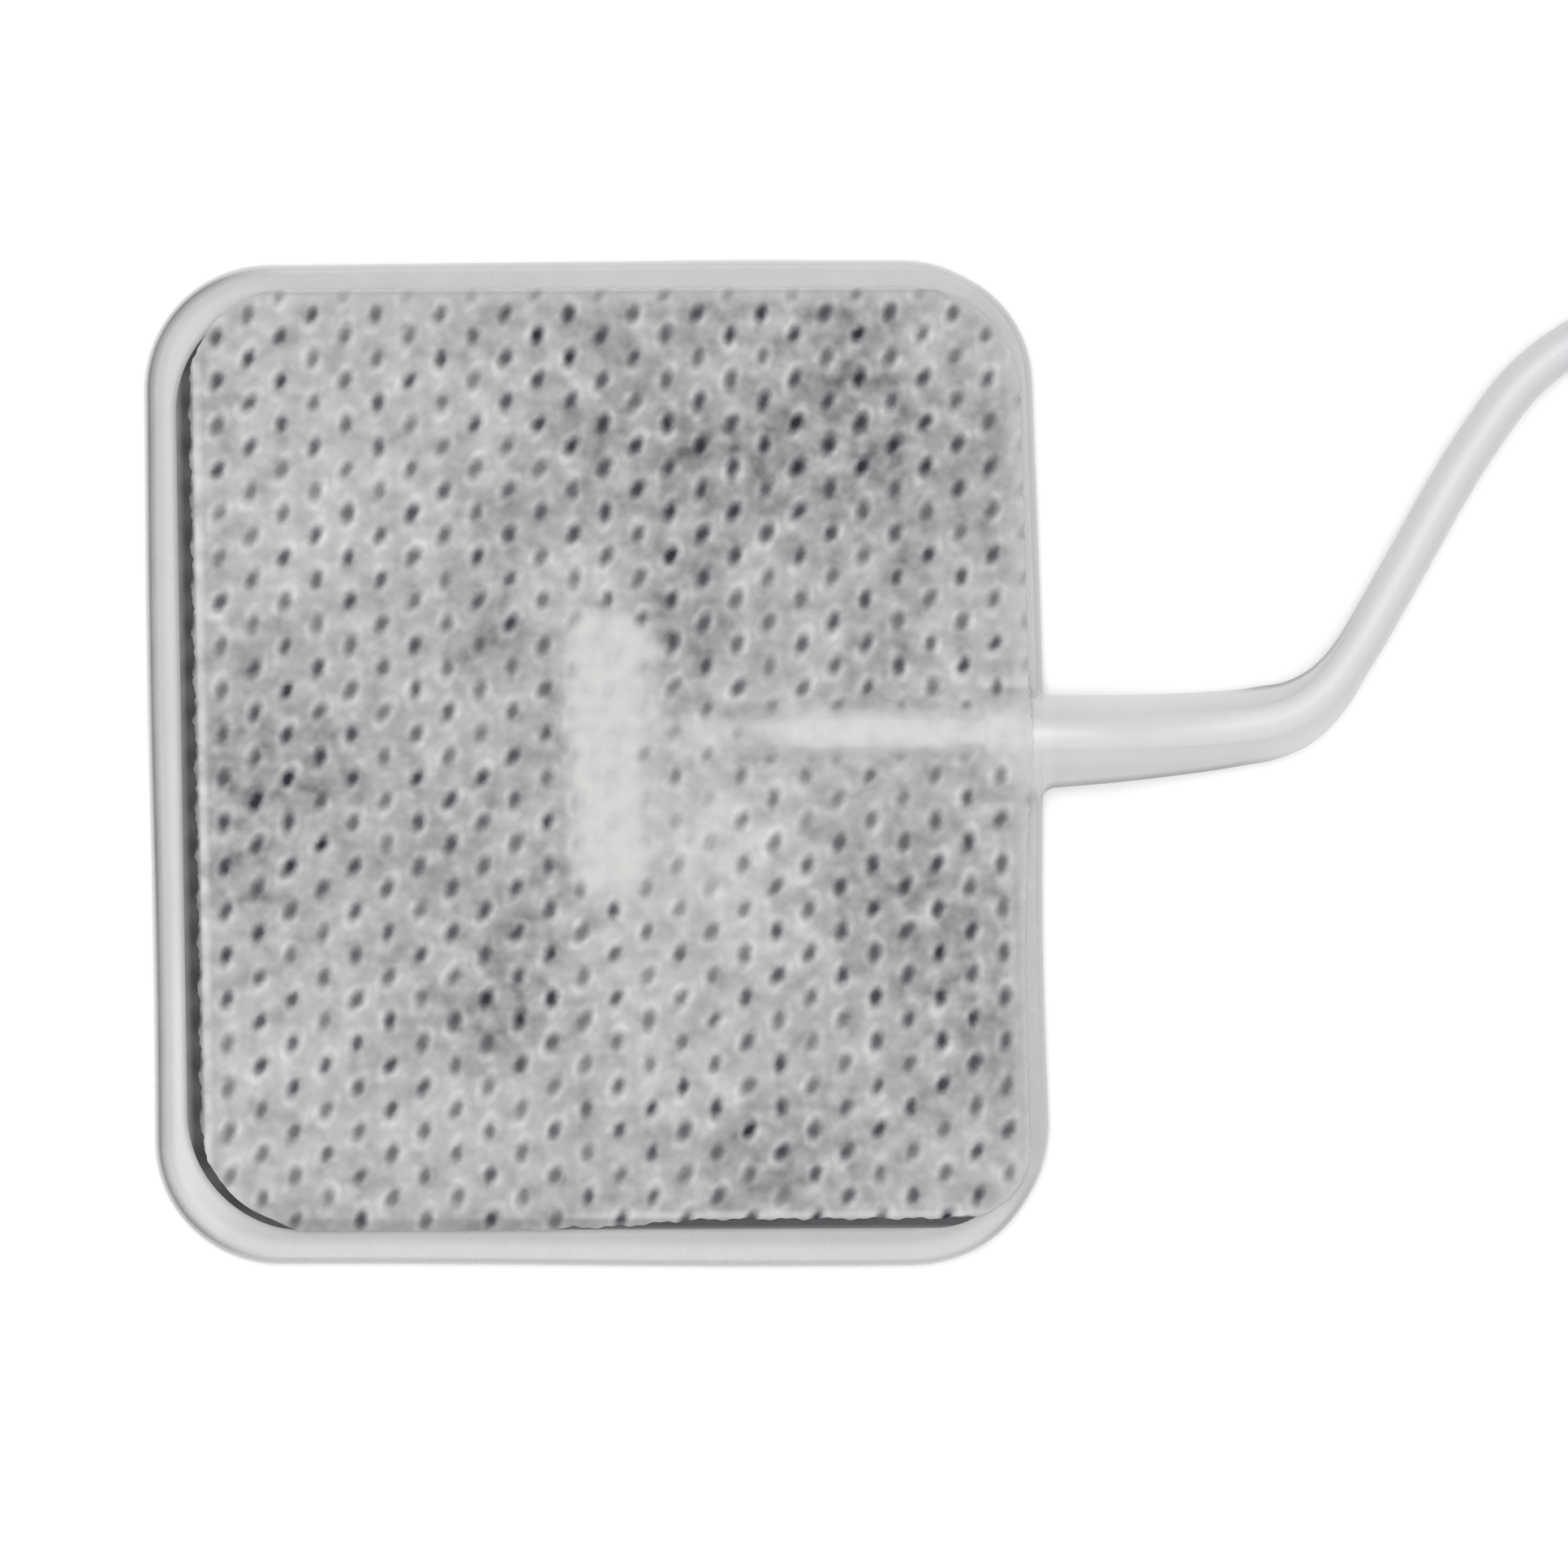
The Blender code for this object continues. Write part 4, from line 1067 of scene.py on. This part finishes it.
sheet = Sheet(CLOTH, CLOTH_CORNERS, CLOTH_SPACING)
x, y = sheet.x, sheet.y
(left_edge, low_edge, _), (right_edge, high_edge, _) = CLOTH
scallop = 0.07 * np.cos(2 * math.pi * (y - LATTICE[1] + 0.3) / PITCH[1])
ragged = 0.03 * np.sin(y * 7.3 + 1.0) + 0.03 * np.sin(y * 12.7 + 2.0)
x += (scallop + ragged) * np.exp(-(x - left_edge) / 0.8)
x += ragged * np.exp(-(right_edge - x) / 0.8)
x += 0.6 * smooth((y + 12) / 14) * smooth((x - 14) / 7)
begun = smooth((x + 3.0) / 1.6)
shown = 0.14 * begun + 0.38 * smooth((x + 0.4) / 6.0) - 0.36 * smooth((x + 17.0) / 2.0)
shown += (0.05 * np.sin(x * 2.9) + 0.03 * np.sin(x * 7.9 + 1.0)) * (0.1 + 0.9 * begun)
y += shown * np.exp(-(y - low_edge) / 1.5)
y += 0.04 * np.sin(x * 5.3) * np.exp(-(high_edge - y) / 0.8)
print("cloth of", x.size, "points")

# %% Cloth height
CLOTH_THICKNESS = 0.28
EDGE_THICKNESS = 0.035
PIT_DEPTH = 0.16

held = lift(x, y)
near_border = np.minimum(x - left_edge, y - low_edge)
far_border = np.minimum(x[:, -1:] - x, y.max() - y)
pressed = pits(x, y) * smooth(far_border / 0.9) * (1 - 0.75 * smooth(held / 0.6))
swell = 0.02 * np.sin(x * 1.1 + np.sin(y * 0.7)) * np.sin(y * 0.9 + 1.0)
rounding = 0.1 * (1 - smooth(near_border / 0.35))
rounding += (CLOTH_THICKNESS - EDGE_THICKNESS) * (1 - smooth(far_border / 0.8))
sunk = np.maximum(smooth((x - FILM[1][0] - 0.1) / 0.5), smooth((y - FILM[1][1]) / 0.3))
sunk = sunk * (1 - smooth(held / 0.3)) * (CLOTH_BOTTOM - GEL[1][2] - LAYER_GAP)
underside = CLOTH_BOTTOM + held - sunk
top = underside + CLOTH_THICKNESS - PIT_DEPTH * pressed + swell - rounding
print("its highest point lies", round(float(top.max()), 2), "mm above the table")

# %% Cloth points and faces
upper = np.stack([*leaning(x, y), top], -1).reshape(-1, 3)
rim = sheet.rim()
lower = upper[rim].copy()
lower[:, 2] = underside.reshape(-1)[rim]
cloth_points = np.concatenate([upper, lower])
cloth_faces = grid_faces(*sheet.shape)
ring = rim.tolist()
cloth_faces += [
    (a, x.size + i, x.size + (i + 1) % len(ring), b)
    for i, (a, b) in enumerate(zip(ring, ring[1:] + ring[:1]))
]
print("a border of", len(ring), "points")

# %% [markdown]
# The white cloth looks grey and its points look dark where it lies close on the black film, and
# it is pale over the wire and the patch and wherever it stands off. Noise alone wouldn't put these
# tones where the drape has them, so they are stored in the mesh, point by point. The broad ones
# are soft areas, given as (x, y, half width, half length, strength).

# %% Cloth tones
DARKER = [
    (12.5, 16.0, 7.0, 5.0, 0.9), (18.5, 13.0, 3.0, 6.0, 0.15), (0.4, 17.0, 2.2, 4.0, 0.7),
    (4.8, 7.6, 2.2, 3.6, 0.9), (-5.0, 6.2, 2.6, 2.2, 0.6), (-16.0, -1.0, 4.2, 5.0, 0.8),
    (-18.0, -6.0, 3.0, 3.6, 0.4), (-5.2, -8.6, 3.6, 4.4, 0.6), (-5.4, -12.8, 3.4, 1.8, 0.7),
    (17.0, -9.6, 5.0, 5.4, 0.75), (13.4, -5.0, 3.0, 2.6, 0.35), (19.4, -16.0, 3.6, 2.2, 0.3),
    (9.4, -19.4, 3.8, 2.6, 0.7), (5.2, 15.0, 4.0, 4.0, 0.5), (15.0, 5.4, 3.0, 2.2, 0.35),
    (14.6, 23.0, 2.6, 1.4, 0.6), (-7.0, -1.6, 2.6, 2.2, 0.35), (3.4, -19.4, 2.6, 2.2, 0.2),
    (-3.4, 21.0, 2.6, 2.6, 0.35), (3.6, 22.2, 7.0, 1.6, 0.3), (-4.8, 11.0, 2.2, 3.4, 0.45),
    (13.4, 20.0, 1.6, 1.4, 0.3), (-11.3, 7.5, 1.6, 4.5, 0.35), (-17.5, 18.0, 2.5, 1.6, 0.35),
    (12.0, 22.4, 5.0, 1.2, 0.3),
]
LIGHTER = [
    (-14.0, 14.0, 6.0, 8.0, 0.5), (-17.0, -15.0, 4.4, 5.0, 0.5), (-9.0, -19.0, 5.0, 3.0, 0.4),
    (6.0, -4.4, 3.4, 4.2, 0.9), (9.6, -7.6, 2.6, 3.2, 0.5), (10.0, 2.8, 4.4, 2.2, 0.5),
    (3.0, -13.4, 3.2, 3.6, 0.45), (0.2, 9.8, 1.9, 1.8, 0.9), (15.4, 1.2, 5.6, 2.8, 0.9),
    (-13.4, -10.0, 5.0, 3.6, 0.35), (13.6, -17.6, 2.0, 4.0, 0.45),
]
LOOSE = [
    (2.5, -3.4, 1.3, 5.0, 1.0), (6.0, -4.4, 1.4, 4.4, 0.9), (4.4, -4.0, 1.4, 4.0, 0.5),
    (13.0, -2.8, 5.0, 3.0, 0.4), (7.0, 2.2, 4.0, 1.2, 0.6),
]


def tone(x, y, areas):
    """The sum of soft areas at each point."""
    found = np.zeros_like(x)
    for middle_x, middle_y, wide, long, strength in areas:
        away_x, away_y = (x - middle_x) / wide, (y - middle_y) / long
        found += strength * np.exp(-(away_x**2) - away_y**2)
    return found


print(len(DARKER), "darker,", len(LIGHTER), "lighter and", len(LOOSE), "loose areas")

# %% Pale parts of the cloth
away = np.abs(y - WIRE_OFFSET_Y)
drift = 0.22 * np.sin(y * 1.9 + 0.5) + 0.12 * np.sin(y * 4.3) + 0.12 * np.sin(x * 3.1)
on_wire = (1 - smooth((away + 0.5 * drift - 0.4) / 1.5)) * smooth((x - 7.4) / 3.6)
# Painted light: the flanks of the ridge over the wire are made lighter, against the shade on their
# steep slopes.
flank_painted_light = smooth((away - 0.35) / 0.4) * (1 - smooth((x - 17.8) / 1.2))
bridged = (1 - smooth((away - 0.8) / 0.7)) * smooth((x - 6.6) / 2.4)
on_strands = 0.5 * (1 - smooth((away - 0.3) / 0.9)) * smooth((x - 2.0) / 1.5)
slack = 0.5 * (1 - smooth((y + 0.6) / 3.4)) * smooth((x - 1.0) / 1.5)
edge_of_patch = outside(x + slack, y, PATCH_MIDDLE, PATCH_HALF, PATCH_RADIUS)
edge_of_patch += drift * np.where(x > 1, 0.9, 0.35)
on_patch = 1 - smooth((edge_of_patch + 0.85) / np.where((x > 1) & (y > 1), 1.0, 1.3))
off_film = smooth((y - FILM[1][1]) / 0.3) * 0.4
# Painted light: the cloth over the sleeve's root is made lighter, against the shade on the mound's
# slopes and at the cloth's border there.
painted_light_at_root = smooth((x - 18.6) / 1.2) * (1 - smooth((away - 2.4) / 1.4))
painted_light_on_root = 0.7 * painted_light_at_root * smooth((x - x[:, -1:] + 1.1) / 0.8)
pale = np.maximum.reduce([on_wire, on_strands, on_patch, off_film, painted_light_on_root])
print("pale over", round(100 * float(pale.mean())), "% of the cloth")

# %% What the cloth's points hold


def spread(values):
    """The grid's values and then those of the border's lower points."""
    values = np.asarray(values).reshape(-1)
    return np.concatenate([values, values[rim]])


stored = {
    "dark": spread(np.clip(tone(x, y, DARKER), 0, 1.2)),
    # light holds the lighter areas of the cloth's tone and the painted light over the sleeve's root.
    "light": spread(np.clip(tone(x, y, LIGHTER) + 0.6 * painted_light_at_root, 0, 1.3)),
    "pale": spread(pale),
    "loose": spread(np.clip(tone(x, y, LOOSE) + 1.2 * bridged, 0, 1.2)),
    # on_wire holds the wire's paleness through the cloth, and above 1 the painted light on the
    # ridge's flanks.
    "on_wire": spread(on_wire * (1 + flank_painted_light)),
    "left_border": spread(x - left_edge),
    "low_border": spread(y - low_edge),
    "far_border": spread(far_border),
}
print("each point holds", ", ".join(stored))

# %% [markdown]
# ## The cloth's finish
#
# Non-woven cloth is a mat of fibres, cloudy where they lie thicker, and every bond point came out
# a little different. A picture of cloth would repeat and would fix the light, so the finish is
# worked out: a lattice of spots, each with its own size, darkness and slant from a white noise
# that is the same all over one cell, and clouds and fibres from noise at three sizes.

# %% Bond points as spots
graph = Graph("white_nonwoven_look", roughness=0.9)
dark, light, pale, loose = (graph.stored(name) for name in ("dark", "light", "pale", "loose"))
x, y, _ = graph.split()
square_x, square_y = squared(x, y)
square_x = square_x + (graph.noise(0.5, 2.0) - 0.5) * 0.26
square_y = square_y + (graph.noise(0.45, 2.0, graph.place + 7.0) - 0.5) * 0.26
spots, halos = [], []
for shift in SHIFTS:
    gx = (square_x - LATTICE[0]) / PITCH[0] - shift
    gy = (square_y - LATTICE[1]) / PITCH[1] - shift
    cell_x, cell_y = gx.math("ROUND"), gy.math("ROUND")
    fx = (gx - cell_x) * PITCH[0]
    fy = (gy - cell_y) * PITCH[1]
    cell = graph.node("CombineXYZ", sockets={"X": cell_x, "Y": cell_y, "Z": shift})
    chance = graph.node(
        "TexWhiteNoise", {"noise_dimensions": "3D"}, {"Vector": cell}, output="Color"
    )
    size, depth, slant = graph.split(chance)
    turned = (slant - 0.5) * 0.45 + SLANT
    cosine, sine = turned.math("COSINE"), turned.math("SINE")
    across = (fx * cosine - fy * sine) / POINT_HALF[0]
    length = (fx * sine + fy * cosine) / POINT_HALF[1]
    reach = (across * across + length * length) ** 0.5
    spot = graph.step(reach, 1.38 + size * 0.26 + dark * 0.16, 0.22)
    spots.append(spot * (0.5 + depth * 0.36 + dark * 0.28))
    halos.append(graph.band(reach, 1.2, 1.8, 1.9, 2.6))
points, halo = spots[0].math("MAXIMUM", spots[1]), halos[0].math("MAXIMUM", halos[1])
print("spots and halos ready")

# %% Cloth colour
CLOSE_TO_FILM, STANDING_OFF = grey(92, 2), grey(205, 1)
THIN_EDGE, OVER_PATCH, OVER_WIRE_AND_PAINTED_LIGHT, WIRE_FLANK_PAINTED_LIGHT = grey(184), grey(195, -2), grey(200), grey(216)

clouds = graph.noise(3.0, 4.0, rough=0.62) - 0.5
fibres = graph.noise(0.95, 1.7, rough=0.42) - 0.5
grain = graph.noise(0.25) - 0.5
level = 0.52 + clouds * 0.6 + fibres * (0.6 + dark * 0.45) + grain * 0.03
level = level + halo * (1.0 - loose * 0.8) * (0.062 + fibres * 0.4) - dark * 0.25 + light * 0.16
cloth_colour = graph.mix(graph.clamp(level), CLOSE_TO_FILM, STANDING_OFF)
far_edge = graph.step(graph.stored("far_border"), 1.3, 0.0)
cloth_colour = graph.mix(far_edge * 0.7, cloth_colour, THIN_EDGE)
on_wire = graph.stored("on_wire")
# Over the wire the pale colour is partly the white wire through the cloth and partly painted light
# on the ridge.
pale_colour = graph.mix(on_wire, OVER_PATCH, OVER_WIRE_AND_PAINTED_LIGHT)
pale_colour = graph.mix(on_wire - 1.0, pale_colour, WIRE_FLANK_PAINTED_LIGHT)
cloth_colour = graph.mix(pale * (0.84 + fibres * 0.8), cloth_colour, pale_colour)
print("ground colour ready")

# %% Spots and borders on the cloth
PRESSED_POINT, EDGE_HIGHLIGHT, CUT_EDGE = grey(26, 12), grey(206), grey(60, 4)

left_border, low_border = graph.stored("left_border"), graph.stored("low_border")
by_border = graph.step(left_border.math("MINIMUM", low_border), 0.9, 0.2)
points = points * (1.0 - pale * 0.92) * (1.0 - loose * 0.65) * (1.0 - far_edge * 0.6)
points = graph.clamp(points * (1.0 + by_border * 0.25) * (1.0 + clouds * 0.5))
cloth_colour = graph.mix(points, cloth_colour, PRESSED_POINT)
strip = graph.step(x, -2.5, 1.0)
# Painted highlight: a thin light line just inside the cloth's left and bottom edges.
edge_highlight = graph.band(left_border, 0.1, 0.28, 0.4, 0.8) * (0.45 + fibres)
edge_highlight = edge_highlight.math("MAXIMUM", graph.band(low_border, 0.1, 0.3, 0.4, 0.7) * strip * 0.4)
cloth_colour = graph.mix(edge_highlight * (1.0 - points), cloth_colour, EDGE_HIGHLIGHT)
near_edge = graph.step(left_border, 0.34, -0.05) * 0.6
near_edge = near_edge.math("MAXIMUM", graph.step(low_border, 0.4, -0.1) * (0.34 - strip * 0.06))
cloth_colour = graph.mix(near_edge, cloth_colour, CUT_EDGE)
cloth_look = graph.finish(cloth_colour, 0.82 + fibres * 0.2, fibres * 0.05 + grain * 0.02, 0.6)
print("made", cloth_look.name)

# %% Cloth
cloth = add_piece(
    "backing_cloth_piece", cloth_points, cloth_faces, cloth_look, smooth_to=60, stored=stored
)
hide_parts("backing_cloth")

# %% [markdown]
# ## Table
#
# The pad lies on a white table that takes its soft shadow. It is a plain square, large enough to
# fill every view, and a hair lower than the gel's underside, so that no two faces share a plane.

# %% Floor
FLOOR_REACH = 3.0
FLOOR_LEVEL = -2e-5

graph = Graph("floor_look", roughness=0.9)
floor_look = graph.finish(graph.mix(graph.noise(40.0), (0.91, 0.91, 0.91), (0.93, 0.93, 0.93)))
floor_mesh = bpy.data.meshes.new("floor")
corners = [
    (x * FLOOR_REACH, y * FLOOR_REACH, FLOOR_LEVEL) for x, y in ((-1, -1), (1, -1), (1, 1), (-1, 1))
]
floor_mesh.from_pydata(corners, [], [(0, 1, 2, 3)])
floor_mesh.materials.append(floor_look)
floor = bpy.data.objects.new("floor", floor_mesh)
bpy.context.scene.collection.objects.link(floor)
print("table", 2 * FLOOR_REACH, "m wide")
